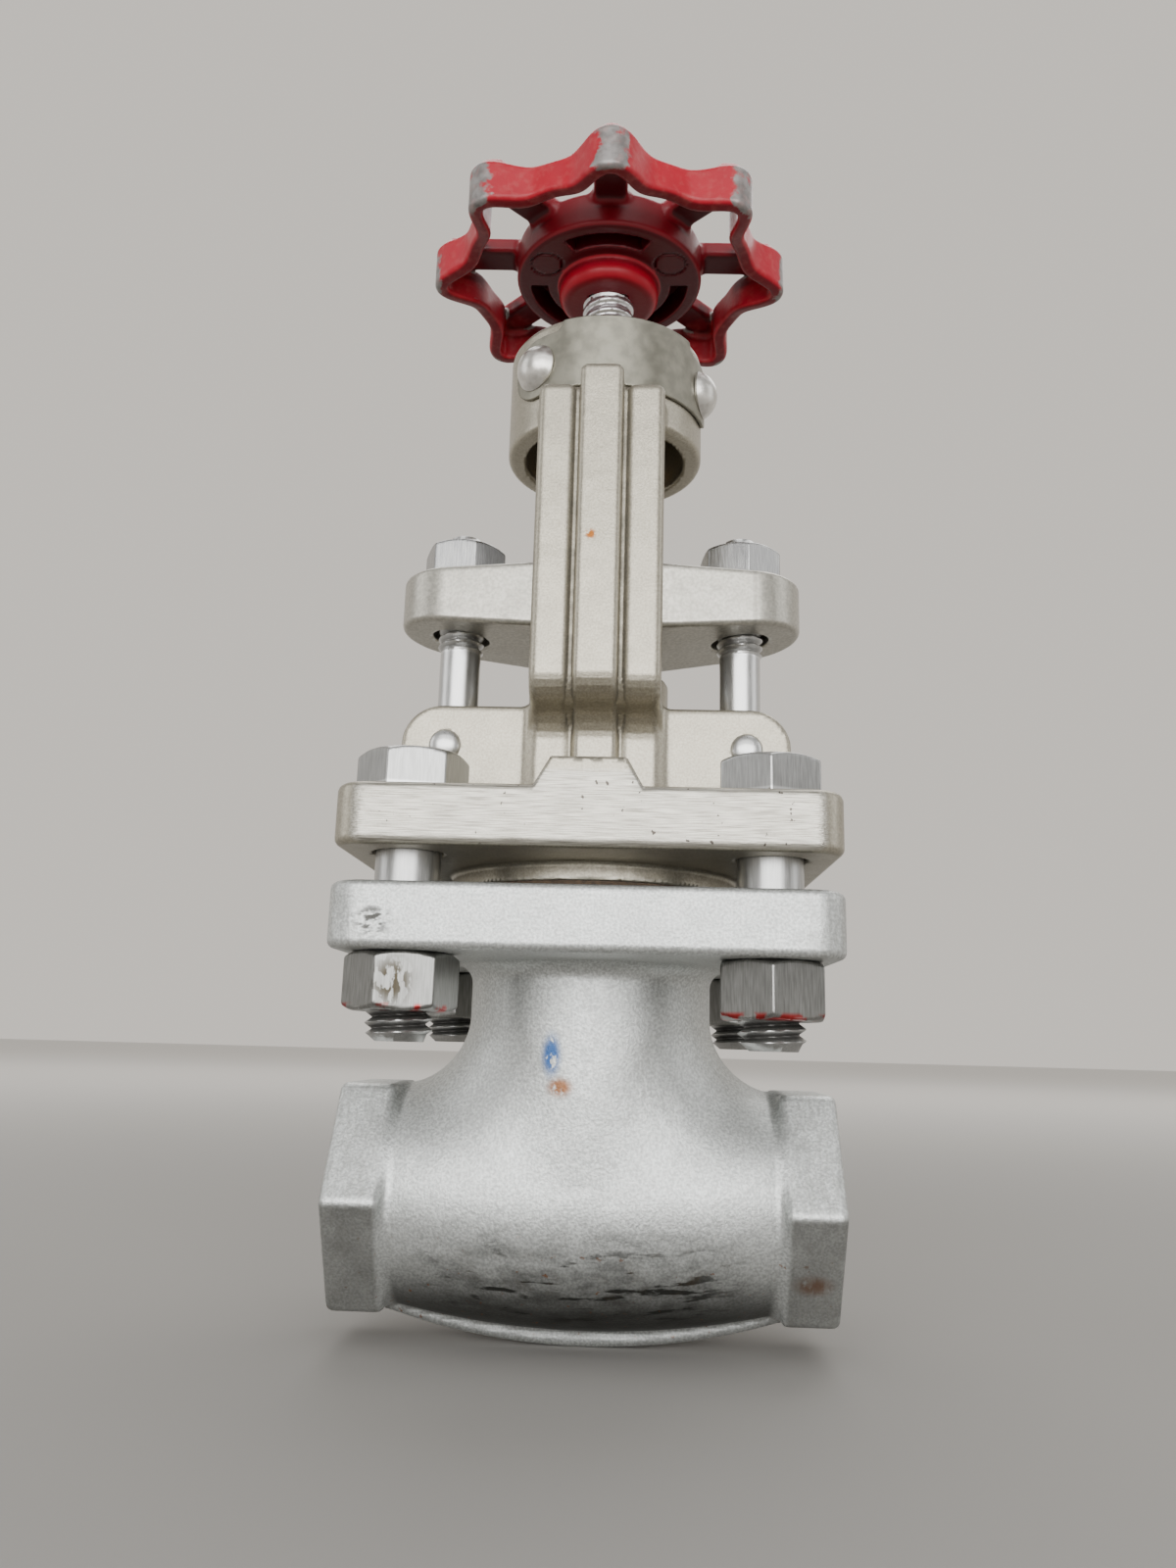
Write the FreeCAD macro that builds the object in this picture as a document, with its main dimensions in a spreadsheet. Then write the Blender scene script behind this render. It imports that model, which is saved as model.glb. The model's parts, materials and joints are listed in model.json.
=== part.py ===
import FreeCAD, Part
import math
import os
import Sketcher

# A 3/4 inch outside-screw-and-yoke gate valve, upright, in millimetres.
# The origin is where the pipe axis (X) meets the stem axis (Z); the yoke's front arm faces -Y.
# The valve is closed: the wedge is down between its seats.

SIZES = {
    # pipe run
    "half_face": (38.0, "centre to the end of each hexagon"),
    "hex_flats": (33.0, "across the flats of the end hexagons"),
    "hex_length": (8.7, "axial length of each end hexagon"),
    "thread_bore": (12.3, "radius of the 3/4 NPT threaded bore"),
    "thread_length": (14.0, "depth of the threaded bore"),
    "mouth_cone": (1.4, "size of the chamfer at the bore's mouth"),
    "water_bore": (9.5, "radius of the waterway"),
    "barrel_end": (16.3, "barrel radius beside the hexagons"),
    "barrel_mid": (19.5, "barrel radius at the middle"),
    "barrel_arc": (135.7, "radius of the barrel's long curve"),
    "neck_outer": (19.2, "outer radius of the body neck"),
    "neck_bore": (14.5, "bore of the body neck"),
    "neck_bore_low": (21.0, "bottom of the neck bore"),
    "neck_blend": (8.0, "fillet between neck and barrel"),
    "keel_arc": (104.3, "radius of the keel's lower edge"),
    "keel_drop": (22.0, "lowest point of the keel under the pipe axis"),
    "keel_thick": (3.4, "thickness of the keel"),
    "keel_rise": (13.0, "height of the keel up into the barrel"),
    "wall_skin": (1.0, "small edge rounding on the castings"),
    # flanges and bolting
    "flange_half": (36.0, "half the width of both square flanges"),
    "flange_corner": (5.0, "corner radius of both flanges"),
    "body_flange_low": (35.3, "underside of the body flange"),
    "body_flange_top": (44.6, "top of the body flange"),
    "bonnet_flange_low": (49.6, "underside of the bonnet flange"),
    "bonnet_flange_top": (58.5, "top of the bonnet flange"),
    "face_radius": (23.3, "raised face and spigot radius"),
    "gasket_low": (45.6, "lower face of the gasket"),
    "gasket_top": (46.8, "upper face of the gasket"),
    "bolt_offset": (26.27, "bolt centre from both middle planes"),
    "bolt_radius": (4.76, "3/8 bolt shank"),
    "bolt_clear": (5.1, "radius of the bolt holes in the flanges"),
    "bolt_flats": (14.29, "across flats of the bolt heads and nuts"),
    "bolt_head": (5.9, "height of the bolt heads"),
    "bolt_length": (35.6, "bolt length under the head"),
    "bolt_nut": (8.3, "height of the bolting nuts"),
    "crown_share": (0.48, "radius of a hexagon's flat end over its width across flats"),
    # wedge, seats and stem
    "cavity_half": (7.5, "half the width of the wedge cavity along the pipe"),
    "cavity_radius": (13.4, "radius of the wedge cavity"),
    "seat_outer": (12.0, "outer radius of the seat rings"),
    "seat_back": (9.2, "back of each seat ring from the middle plane"),
    "wedge_half": (5.0, "half the wedge thickness at the pipe axis"),
    "wedge_angle": (5.0, "slope of each wedge face in degrees"),
    "seat_gap": (0.06, "gap between wedge and seat when closed"),
    "wedge_radius": (12.2, "radius of the wedge disc"),
    "wedge_boss": (6.8, "half the size of the boss on the wedge"),
    "boss_low": (12.2, "bottom of the wedge boss, just above the seats"),
    "boss_root": (5.6, "half the thickness of the boss's root, between the seats"),
    "root_low": (8.0, "bottom of the boss's root"),
    "wedge_top": (19.0, "top of the wedge boss"),
    "tee_floor": (12.7, "bottom of the T-slot"),
    "tee_roof": (16.3, "underside of the T-slot's lips"),
    "tee_half": (4.7, "half the width of the T-slot"),
    "tee_lips": (3.1, "half the opening between the lips"),
    "tee_head_radius": (4.4, "radius of the stem's T-head"),
    "tee_head_low": (13.0, "bottom of the T-head"),
    "tee_head_top": (16.0, "top of the T-head"),
    "tee_neck": (2.9, "radius of the stem above the T-head"),
    "stem_radius": (4.76, "stem radius"),
    "stem_shank": (20.0, "start of the full stem"),
    "collar_radius": (7.0, "radius of the back-seat collar"),
    "collar_low": (30.5, "bottom of the back-seat collar"),
    "collar_edge": (32.4, "start of the collar's cone"),
    "collar_top": (34.7, "top of the collar's cone"),
    # bonnet
    "bonnet_recess": (9.0, "recess above the wedge cavity"),
    "backseat_low": (57.3, "bottom of the back-seat bushing"),
    "backseat_radius": (7.5, "outer radius of the back-seat bushing"),
    "running_gap": (0.06, "radial clearance round the stem"),
    "box_floor": (64.0, "floor of the stuffing box"),
    "box_bore": (8.2, "bore of the stuffing box"),
    "box_outer": (12.0, "outside radius of the stuffing box"),
    "box_top": (84.0, "top of the stuffing box"),
    "tab_base": (15.3, "width of the front tab at its foot"),
    "tab_crown": (10.7, "width of the front tab at its top"),
    "tab_height": (4.1, "height of the front tab"),
    "tab_depth": (5.0, "front to back size of the tab"),
    "lug_half": (31.6, "half the width of the lug plates"),
    "lug_top": (76.8, "top of the lug plates"),
    "lug_corner": (6.5, "corner radius of the lug plates"),
    "lug_front": (11.5, "outer face of each lug plate"),
    "lug_back": (5.0, "inner face of each lug plate"),
    # yoke
    "arm_half": (10.4, "half the width of a yoke arm"),
    "arm_foot": (13.0, "front of the arm's ridges at the foot"),
    "arm_front": (21.6, "front of the arm's upright ridges"),
    "arm_inner": (15.4, "inner face of the upright arm"),
    "bend_low": (69.5, "start of the bend in the arm"),
    "bend_top": (80.9, "end of the bend in the arm"),
    "bend_slope": (74.0, "slope of the bend from the upright in degrees"),
    "bend_radius": (5.0, "radius of the bend's two corners"),
    "ridge_top": (129.5, "top of the arm's side ridges"),
    "ridge_depth": (2.5, "thickness of the side ridges, most of it sunk in the arm"),
    "rib_top": (132.6, "top of the arm's middle rib"),
    "rib_half": (3.55, "half the width of the middle rib"),
    "rib_proud": (1.1, "how far the middle rib stands out"),
    "groove_width": (0.6, "width of the grooves beside the rib"),
    "groove_depth": (0.8, "depth of the grooves beside the rib"),
    "hub_radius": (17.4, "outer radius of the yoke hub"),
    "hub_low": (125.5, "bottom of the yoke hub"),
    "hub_top": (145.0, "top of the yoke hub"),
    "hub_hollow": (14.2, "radius of the hollow under the hub"),
    "hub_roof": (136.5, "underside of the hub's roof"),
    "bushing_radius": (8.0, "radius of the yoke bushing in the roof"),
    "bushing_flange": (11.0, "flange radius of the yoke bushing"),
    "bushing_low": (132.0, "bottom of the yoke bushing"),
    # gland
    "gland_bolt": (24.4, "eyebolt centre from the stem axis"),
    "gland_low": (93.0, "underside of the gland flange's ends"),
    "gland_top": (101.8, "top of the gland flange"),
    "gland_keel": (90.5, "underside of the gland flange's middle"),
    "gland_flat": (10.2, "half the flat width of that middle"),
    "gland_end": (10.3, "end radius of the gland flange"),
    "gland_mid": (14.0, "middle radius of the gland flange"),
    "gland_hole": (4.9, "radius of the eyebolt holes"),
    "gland_bore": (5.4, "stem hole in the gland flange"),
    "follower_radius": (8.12, "outer radius of the gland follower"),
    "follower_low": (77.95, "bottom of the gland follower"),
    "follower_head": (9.5, "head radius of the gland follower"),
    "follower_rim": (87.6, "bottom of the follower's head"),
    "follower_top": (92.0, "top of the gland follower"),
    "packing_height": (3.4, "height of one packing ring"),
    "packing_count": (4.0, "number of packing rings"),
    "packing_step": (3.46, "spacing of the packing rings"),
    # eyebolts
    "pin_height": (70.0, "height of the eyebolt pins"),
    "pin_radius": (2.2, "radius of the eyebolt pins"),
    "pin_dome": (2.65, "radius of the pin heads"),
    "pin_proud": (1.3, "height of the pin heads"),
    "eye_radius": (6.6, "outer radius of the eye"),
    "eye_half": (4.2, "half the thickness of the eye"),
    "eye_bore": (2.45, "bore of the eye"),
    "eye_room": (2.2, "clearance round the eye between the lugs"),
    "eyebolt_shank": (3.5, "rolled shank radius of the eyebolts"),
    "eyebolt_thread": (3.97, "5/16 thread radius of the eyebolts"),
    "eyebolt_runout": (90.6, "start of the eyebolt thread"),
    "eyebolt_top": (109.6, "end of the eyebolt thread"),
    "eyebolt_crown": (0.8, "height of the cone on the eyebolt's end"),
    "gland_nut": (6.75, "height of the gland nuts"),
    "gland_flats": (12.7, "across flats of the gland nuts"),
    "thread_gap": (0.04, "radial gap of a nut on its thread"),
    # handwheel
    "wheel_hub": (9.3, "radius of the handwheel hub"),
    "wheel_low": (158.4, "bottom of the handwheel hub"),
    "wheel_high": (170.0, "top of the handwheel hub"),
    "wheel_bevel": (2.1, "bevel on the hub's lower edge"),
    "wheel_square": (6.7, "square on the stem end"),
    "square_gap": (0.1, "gap between the square and its hole"),
    "square_top": (169.6, "top of the square"),
    "disc_radius": (17.3, "radius of the wheel's thick middle disc"),
    "disc_low": (162.6, "bottom of the middle disc"),
    "disc_high": (169.6, "top of the middle disc"),
    "slot_inner": (11.6, "inner radius of the slots in the disc's underside"),
    "slot_outer": (14.7, "outer radius of the slots in the disc's underside"),
    "slot_angle": (62.0, "angle of each slot in degrees"),
    "slot_depth": (4.8, "depth of the slots"),
    "rim_low": (161.3, "bottom of the rim"),
    "rim_high": (169.3, "top of the rim"),
    "rim_radius": (27.2, "outer radius of the rim between the lobes"),
    "rim_wave": (5.6, "height of the rim's lobes"),
    "rim_thick": (2.8, "radial thickness of the rim"),
    "lobe_power": (2.3, "sharpness of the lobes"),
    "lobe_count": (8.0, "lobes and spokes of the handwheel"),
    "lobe_turn": (1.5, "turn of the wheel about the stem in degrees"),
    "spoke_low": (167.6, "bottom of the spokes"),
    "spoke_high": (170.9, "top of the spokes"),
    "spoke_width": (6.0, "width of the spokes"),
    "spoke_start": (15.6, "where the spokes start, inside the disc's edge"),
    "stud_radius": (3.17, "threaded end of the stem"),
    "stem_top": (177.6, "top of the stem"),
    "washer_radius": (7.2, "radius of the wheel washer"),
    "washer_thick": (1.3, "thickness of the wheel washer"),
    "wheel_nut": (5.3, "height of the wheel nut"),
    "wheel_nut_flats": (11.1, "across flats of the wheel nut"),
    # nameplate
    "plate_thick": (0.6, "thickness of the nameplate"),
    "plate_low": (133.2, "bottom of the nameplate"),
    "plate_top": (144.4, "top of the nameplate"),
    "rivet_height": (136.9, "height of the nameplate rivets"),
    "rivet_shank": (1.5, "radius of the rivet shanks"),
    "rivet_head": (4.1, "radius of the rivet heads"),
    "rivet_dome": (2.8, "height of the rivet heads"),
    "ear_radius": (5.6, "radius of the nameplate's ears"),
    "left_rivet": (-41.0, "left rivet, degrees from the front"),
    "right_rivet": (73.0, "right rivet, degrees from the front"),
    "plate_inset": (17.0, "from a rivet to the plate's full height, degrees"),
}

OVER = 1.0  # how far a cutting tool, or a piece to be fused, runs past the face it meets

X = FreeCAD.Vector(1, 0, 0)
Y = FreeCAD.Vector(0, 1, 0)
Z = FreeCAD.Vector(0, 0, 1)

doc = FreeCAD.newDocument("gate_valve")
sheet = doc.addObject("Spreadsheet::Sheet", "sheet")


class Size:
    """A number from the sheet, kept together with the expression that gives it."""

    def __init__(self, value, text):
        self.value = value
        self.text = text

    def joined(self, sign, other, value):
        return Size(value, "(" + self.text + " " + sign + " " + other.text + ")")

    def __add__(self, other):
        other = as_size(other)
        return self.joined("+", other, self.value + other.value)

    def __sub__(self, other):
        other = as_size(other)
        return self.joined("-", other, self.value - other.value)

    def __mul__(self, other):
        other = as_size(other)
        return self.joined("*", other, self.value * other.value)

    def __truediv__(self, other):
        other = as_size(other)
        return self.joined("/", other, self.value / other.value)

    def __neg__(self):
        return Size(-self.value, "(0 - " + self.text + ")")


def as_size(number):
    if isinstance(number, Size):
        return number
    return Size(float(number), repr(float(number)))


class Sheet:
    """The driving dimensions: dim.alias is the Size held in the cell of that alias."""


def fill_sheet():
    dims = Sheet()
    for row, (alias, (value, note)) in enumerate(SIZES.items(), start=1):
        sheet.set("A" + str(row), note)
        sheet.set("B" + str(row), str(value))
        sheet.setAlias("B" + str(row), alias)
        setattr(dims, alias, Size(value, "sheet." + alias))
    doc.recompute()
    return dims


dim = fill_sheet()


def bind(item, name, number):
    size = as_size(number)
    if "sheet" in size.text:
        item.setExpression(name, size.text)
    else:
        setattr(item, name, size.value)


def place(item, at=(0, 0, 0), axis=Z, turn=0.0):
    """Stand an item made along +Z on the point at, along axis, turned about that axis."""
    rotation = FreeCAD.Rotation(Z, axis).multiply(FreeCAD.Rotation(Z, turn))
    sizes = [as_size(number) for number in at]
    point = FreeCAD.Vector(*[size.value for size in sizes])
    item.Placement = FreeCAD.Placement(point, rotation)
    for letter, size in zip("xyz", sizes):
        if "sheet" in size.text:
            item.setExpression("Placement.Base." + letter, size.text)
    return item


def cylinder(name, radius, height, at=(0, 0, 0), axis=Z, turn=0.0, angle=360.0):
    item = doc.addObject("Part::Cylinder", name)
    bind(item, "Radius", radius)
    bind(item, "Height", height)
    bind(item, "Angle", angle)
    return place(item, at, axis, turn)


def cone(name, low_radius, top_radius, height, at=(0, 0, 0), axis=Z):
    item = doc.addObject("Part::Cone", name)
    bind(item, "Radius1", low_radius)
    bind(item, "Radius2", top_radius)
    bind(item, "Height", height)
    return place(item, at, axis)


def box(name, lengths, at, turn=0.0):
    item = doc.addObject("Part::Box", name)
    for side, length in zip(("Length", "Width", "Height"), lengths):
        bind(item, side, length)
    return place(item, at, Z, turn)


def hexagon(name, flats, height, at, axis=Z, turn=0.0):
    item = doc.addObject("Part::Prism", name)
    item.Polygon = 6
    bind(item, "Circumradius", flats * (0.5 / math.cos(math.radians(30))))
    bind(item, "Height", height)
    return place(item, at, axis, turn)


def fuse(name, items):
    item = doc.addObject("Part::MultiFuse", name)
    item.Shapes = items
    item.Refine = True
    return item


def cut(name, base, tools):
    item = doc.addObject("Part::Cut", name)
    item.Base = base
    item.Tool = tools[0] if len(tools) == 1 else fuse(name + "_tools", tools)
    return item


def common(name, first, second):
    item = doc.addObject("Part::Common", name)
    item.Base = first
    item.Tool = second
    return item


def group(name, items):
    item = doc.addObject("Part::Compound", name)
    item.Links = items
    return item


def fillet(name, base, radius, wanted):
    """Round the edges of base for which wanted(edge) is true."""
    doc.recompute()
    chosen = [n for n, edge in enumerate(base.Shape.Edges, start=1) if wanted(edge)]
    item = doc.addObject("Part::Fillet", name)
    item.Base = base
    item.Edges = [(n, radius.value, radius.value) for n in chosen]
    return item


def upright(edge):
    """Whether an edge is a straight line along Z."""
    low = edge.BoundBox
    return low.XLength < 0.01 and low.YLength < 0.01 and low.ZLength > 1.0


def fix_point(sketch, curve, end, point):
    """Hold one end of a sketch curve at a point given by two sizes."""
    origin = (-1, 1)
    for kind, size, axis_line in (("DistanceX", point[0], -2), ("DistanceY", point[1], -1)):
        if abs(size.value) < 1e-9:
            sketch.addConstraint(Sketcher.Constraint("PointOnObject", curve, end, axis_line))
            continue
        number = sketch.addConstraint(Sketcher.Constraint(kind, *origin, curve, end, size.value))
        if "sheet" in size.text:
            sketch.setExpression("Constraints[" + str(number) + "]", size.text)


def arc_curve(start, stop, radius):
    """The shorter arc from start to stop; a positive radius turns left."""
    middle = (start + stop) * 0.5
    chord = stop - start
    half = chord.Length / 2
    left = FreeCAD.Vector(-chord.y, chord.x, 0).normalize()
    rise = math.sqrt(max(radius * radius - half * half, 0.0))
    centre = middle + left * math.copysign(rise, radius)
    circle = Part.Circle(centre, Z, abs(radius))
    first, last = (start, stop) if radius > 0 else (stop, start)
    angles = [math.atan2(p.y - centre.y, p.x - centre.x) for p in (first, last)]
    return Part.ArcOfCircle(circle, angles[0], angles[1])


def body_sketch(name, plane, outline):
    """A body with a closed sketch; a corner (x, y, radius) starts an arc, (x, y) a line."""
    body = doc.addObject("PartDesign::Body", name)
    sketch = body.newObject("Sketcher::SketchObject", name + "_sketch")
    role = [item for item in body.Origin.OriginFeatures if item.Role == plane]
    sketch.AttachmentSupport = [(role[0], "")]
    sketch.MapMode = "FlatFace"
    corners = [[as_size(number) for number in corner] for corner in outline]
    points = [FreeCAD.Vector(c[0].value, c[1].value, 0) for c in corners]
    ends = []
    for index, corner in enumerate(corners):
        start, stop = points[index], points[(index + 1) % len(points)]
        if len(corner) == 3:
            curve = sketch.addGeometry(arc_curve(start, stop, corner[2].value), False)
            ends.append((curve, 1, 2) if corner[2].value > 0 else (curve, 2, 1))
        else:
            curve = sketch.addGeometry(Part.LineSegment(start, stop), False)
            ends.append((curve, 1, 2))
    for index, (curve, first, last) in enumerate(ends):
        after = ends[(index + 1) % len(ends)]
        sketch.addConstraint(Sketcher.Constraint("Coincident", curve, last, after[0], after[1]))
        fix_point(sketch, curve, first, corners[index])
        if len(corners[index]) == 3:
            radius = corners[index][2]
            radius = radius if radius.value > 0 else -radius
            number = sketch.addConstraint(Sketcher.Constraint("Radius", curve, radius.value))
            if "sheet" in radius.text:
                sketch.setExpression("Constraints[" + str(number) + "]", radius.text)
    return body, sketch


def lathe(name, outline, axis="V_Axis"):
    """A solid of revolution; the outline is radius and height, or X and radius for H_Axis."""
    body, sketch = body_sketch(name, "XZ_Plane", outline)
    turned = body.newObject("PartDesign::Revolution", name + "_turned")
    turned.Profile = sketch
    turned.ReferenceAxis = (sketch, [axis])
    turned.Angle = 360.0
    body.Tip = turned
    return body


def slab(name, plane, outline, thickness, offset=0.0):
    """A flat plate: the outline padded half of its thickness to each side, then moved."""
    body, sketch = body_sketch(name, plane, outline)
    padded = body.newObject("PartDesign::Pad", name + "_pad")
    padded.Profile = sketch
    padded.SideType = "Symmetric"
    bind(padded, "Length", thickness)
    body.Tip = padded
    normal = {"XY_Plane": "z", "XZ_Plane": "y", "YZ_Plane": "x"}[plane]
    if isinstance(offset, Size):
        bind(body, "Placement.Base." + normal, offset)
    return body


def feature(name, shape, at=(0, 0, 0)):
    item = doc.addObject("Part::Feature", name)
    item.Shape = shape
    item.Placement = FreeCAD.Placement(FreeCAD.Vector(*at), FreeCAD.Rotation())
    return item


NODES = []


def finish(item, label):
    item.Label = label
    NODES.append(item)
    return item


def four_corners():
    """The four bolt places as signs and the turn of each hexagon in degrees."""
    return (((-1, -1), 14.0), ((1, -1), 25.0), ((-1, 1), 40.0), ((1, 1), 7.0))


# ---------------------------------------------------------------- valve body


def body_barrel():
    edge = dim.half_face - dim.hex_length
    barrel = lathe("barrel", [
        (-edge, 0), (edge, 0), (edge, dim.barrel_end, dim.barrel_arc), (-edge, dim.barrel_end),
    ], "H_Axis")
    neck = cylinder("neck", dim.neck_outer, dim.body_flange_low + OVER)
    joined = fuse("barrel_neck", [barrel, neck])

    def junction(edge_item):
        box_item = edge_item.BoundBox
        return box_item.ZMax < dim.barrel_mid.value and box_item.ZMin > 0.5 and box_item.YLength > 5.0

    return fillet("barrel_blend", joined, dim.neck_blend, junction)


def body_flange():
    size = dim.flange_half * 2
    plate = box("body_plate", (size, size, dim.body_flange_top - dim.body_flange_low),
                (-dim.flange_half, -dim.flange_half, dim.body_flange_low))
    corners = fillet("body_plate_corners", plate, dim.flange_corner, upright)
    doc.recompute()
    return fillet("body_plate_edges", corners, dim.wall_skin, flat_rim)


def flat_rim(edge):
    """Whether an edge runs round the top or bottom of a plate."""
    return edge.BoundBox.ZLength < 0.01


def body_keel():
    disc = cylinder("keel_disc", dim.keel_arc, dim.keel_thick,
                    (0, -(dim.keel_thick / 2), dim.keel_arc - dim.keel_drop), Y)
    edge = dim.half_face - dim.hex_length
    block = box("keel_block", (edge * 2, dim.keel_thick * 2, dim.keel_rise + OVER),
                (-edge, -dim.keel_thick, -dim.keel_drop - OVER))
    strip = common("keel_strip", disc, block)

    def lower(edge_item):
        box_item = edge_item.BoundBox
        return box_item.XLength > 40.0 and box_item.ZMin < -20.0

    return fillet("keel", strip, dim.wall_skin, lower)


def end_hexagon(side):
    name = "hex_left" if side < 0 else "hex_right"
    start = (dim.half_face - dim.hex_length) * side
    prism = hexagon(name, dim.hex_flats, dim.hex_length, (start, 0, 0), X * side, 90.0 * side)
    doc.recompute()
    return fillet(name + "_edges", prism, dim.wall_skin, lambda edge: True)


def wedge_cavity():
    width = dim.cavity_half * 2
    round_floor = cylinder("cavity_round", dim.cavity_radius, width, (-dim.cavity_half, 0, 0), X)
    slot = box("cavity_slot", (width, dim.cavity_radius * 2, dim.body_flange_top + 2.0),
               (-dim.cavity_half, -dim.cavity_radius, 0))
    bore = cylinder("neck_hole", dim.neck_bore, dim.gasket_low - dim.neck_bore_low + OVER,
                    (0, 0, dim.neck_bore_low))
    return [round_floor, slot, bore]


def pipe_bores():
    tools = []
    for side in (-1, 1):
        name = "left" if side < 0 else "right"
        start = (dim.half_face - dim.thread_length) * side
        tools.append(cylinder("thread_" + name, dim.thread_bore, dim.thread_length + OVER,
                              (start, 0, 0), X * side))
        tools.append(cylinder("water_" + name, dim.water_bore, dim.half_face, (0, 0, 0), X * side))
        tools.append(cylinder("pocket_" + name, dim.seat_outer, dim.seat_back, (0, 0, 0), X * side))
        tools.append(cone("mouth_" + name, dim.thread_bore + dim.mouth_cone, dim.thread_bore,
                          dim.mouth_cone, (dim.half_face * side, 0, 0), X * -side))
    return tools


def bolt_holes(name, low, top):
    tools = []
    for number, ((sx, sy), turn) in enumerate(four_corners(), start=1):
        at = (dim.bolt_offset * sx, dim.bolt_offset * sy, low - OVER)
        tools.append(cylinder(name + str(number), dim.bolt_clear, top - low + OVER * 2, at))
    return tools


def make_body():
    face = cylinder("body_face", dim.face_radius, dim.gasket_low - dim.body_flange_top + OVER,
                    (0, 0, dim.body_flange_top - OVER))
    casting = fuse("body_casting", [body_barrel(), body_flange(), face, body_keel(),
                                    end_hexagon(-1), end_hexagon(1)])
    holes = bolt_holes("body_hole", dim.body_flange_low, dim.body_flange_top)
    finish(cut("body_cut", casting, wedge_cavity() + pipe_bores() + holes), "body")


# ---------------------------------------------------------------- seats, wedge and stem


def wedge_block(name, gap, low, top):
    """A block between the two sloping seat faces, standing gap clear of them."""
    slope = math.tan(math.radians(dim.wedge_angle.value))
    half = dim.wedge_half - gap
    narrow = half + low * slope
    wide = half + top * slope
    outline = [(-narrow, low), (narrow, low), (wide, top), (-wide, top)]
    return slab(name, "XZ_Plane", outline, dim.cavity_radius * 4)


def make_seats():
    for side in (-1, 1):
        name = "seat_ring_left" if side < 0 else "seat_ring_right"
        ring = cylinder(name + "_outside", dim.seat_outer, dim.seat_back, (0, 0, 0), X * side)
        bore = cylinder(name + "_bore", dim.water_bore, dim.half_face, (0, 0, 0), X * side)
        faces = wedge_block(name + "_faces", as_size(0.0), -dim.seat_outer * 1.5, dim.seat_outer * 1.5)
        finish(cut(name + "_cut", ring, [bore, faces]), name)


def make_wedge():
    disc = cylinder("wedge_disc", dim.wedge_radius, dim.cavity_half * 2, (-dim.cavity_half, 0, 0), X)
    faces = wedge_block("wedge_faces", dim.seat_gap, -dim.seat_outer * 1.5, dim.seat_outer * 1.5)
    gate = common("wedge_gate", disc, faces)
    size = dim.wedge_boss * 2
    boss = box("wedge_boss_block", (size, size, dim.wedge_top - dim.boss_low),
               (-dim.wedge_boss, -dim.wedge_boss, dim.boss_low))
    root = box("wedge_boss_root", (dim.boss_root * 2, size, dim.boss_low - dim.root_low + OVER),
               (-dim.boss_root, -dim.wedge_boss, dim.root_low))
    chamber = box("tee_chamber", (dim.tee_half * 2, size * 2, dim.tee_roof - dim.tee_floor),
                  (-dim.tee_half, -size, dim.tee_floor))
    opening = box("tee_opening", (dim.tee_lips * 2, size * 2, dim.wedge_top - dim.tee_floor),
                  (-dim.tee_lips, -size, dim.tee_floor + OVER))
    solid = fuse("wedge_solid", [gate, boss, root])
    finish(cut("wedge_cut", solid, [chamber, opening]), "wedge")


def make_stem():
    shaft = lathe("stem_shaft", [
        (0, dim.tee_head_low), (dim.tee_head_radius, dim.tee_head_low),
        (dim.tee_head_radius, dim.tee_head_top), (dim.tee_neck, dim.tee_head_top),
        (dim.tee_neck, dim.stem_shank), (dim.stem_radius, dim.stem_shank),
        (dim.stem_radius, dim.collar_low), (dim.collar_radius, dim.collar_low),
        (dim.collar_radius, dim.collar_edge), (dim.stem_radius, dim.collar_top),
        (dim.stem_radius, dim.wheel_low), (0, dim.wheel_low),
    ])
    half = dim.wheel_square / 2
    square = box("stem_square", (dim.wheel_square, dim.wheel_square, dim.square_top - dim.wheel_low + OVER),
                 (-half, -half, dim.wheel_low - OVER))
    stud = cylinder("stem_stud", dim.stud_radius, dim.stem_top - dim.square_top + OVER,
                    (0, 0, dim.square_top - OVER))
    finish(fuse("stem_solid", [shaft, square, stud]), "stem")


def ring(name, outer, inner, low, top):
    """A plain round ring about the stem axis."""
    outside = cylinder(name + "_outside", outer, top - low, (0, 0, low))
    inside = cylinder(name + "_inside", inner, top - low + OVER * 2, (0, 0, low - OVER))
    return cut(name + "_ring", outside, [inside])


# ---------------------------------------------------------------- bonnet and yoke


def bend_corners():
    """Heights of the two corners of the bend, before they are rounded."""
    middle = (dim.bend_low + dim.bend_top) / 2
    drop = (dim.arm_front - dim.arm_foot) / 2 / math.tan(math.radians(dim.bend_slope.value))
    return middle - drop, middle + drop


def arm_outline(front, top, inner):
    """Side view of a yoke arm as Y and Z; front is how far its face stands out."""
    foot = dim.arm_foot + front
    upright_face = dim.arm_front + front
    corner_low, corner_high = bend_corners()
    low = dim.bonnet_flange_top - OVER
    outline = [(-foot, low), (-foot, corner_low), (-upright_face, corner_high), (-upright_face, top)]
    if inner:
        hub_side = dim.hub_hollow - 2.0
        box_side = dim.box_bore + 1.0
        return outline + [
            (-hub_side, top), (-hub_side, dim.hub_low), (-dim.arm_inner, dim.hub_low - 3.0),
            (-dim.arm_inner, dim.bend_top + 5.0), (-box_side, dim.bend_top - 4.0), (-box_side, low)]
    return outline + [
        (-(upright_face - dim.ridge_depth), top),
        (-(upright_face - dim.ridge_depth), dim.bend_top + 2.0),
        (-(foot - dim.ridge_depth), dim.bend_low + 1.0), (-(foot - dim.ridge_depth), low)]


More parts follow.
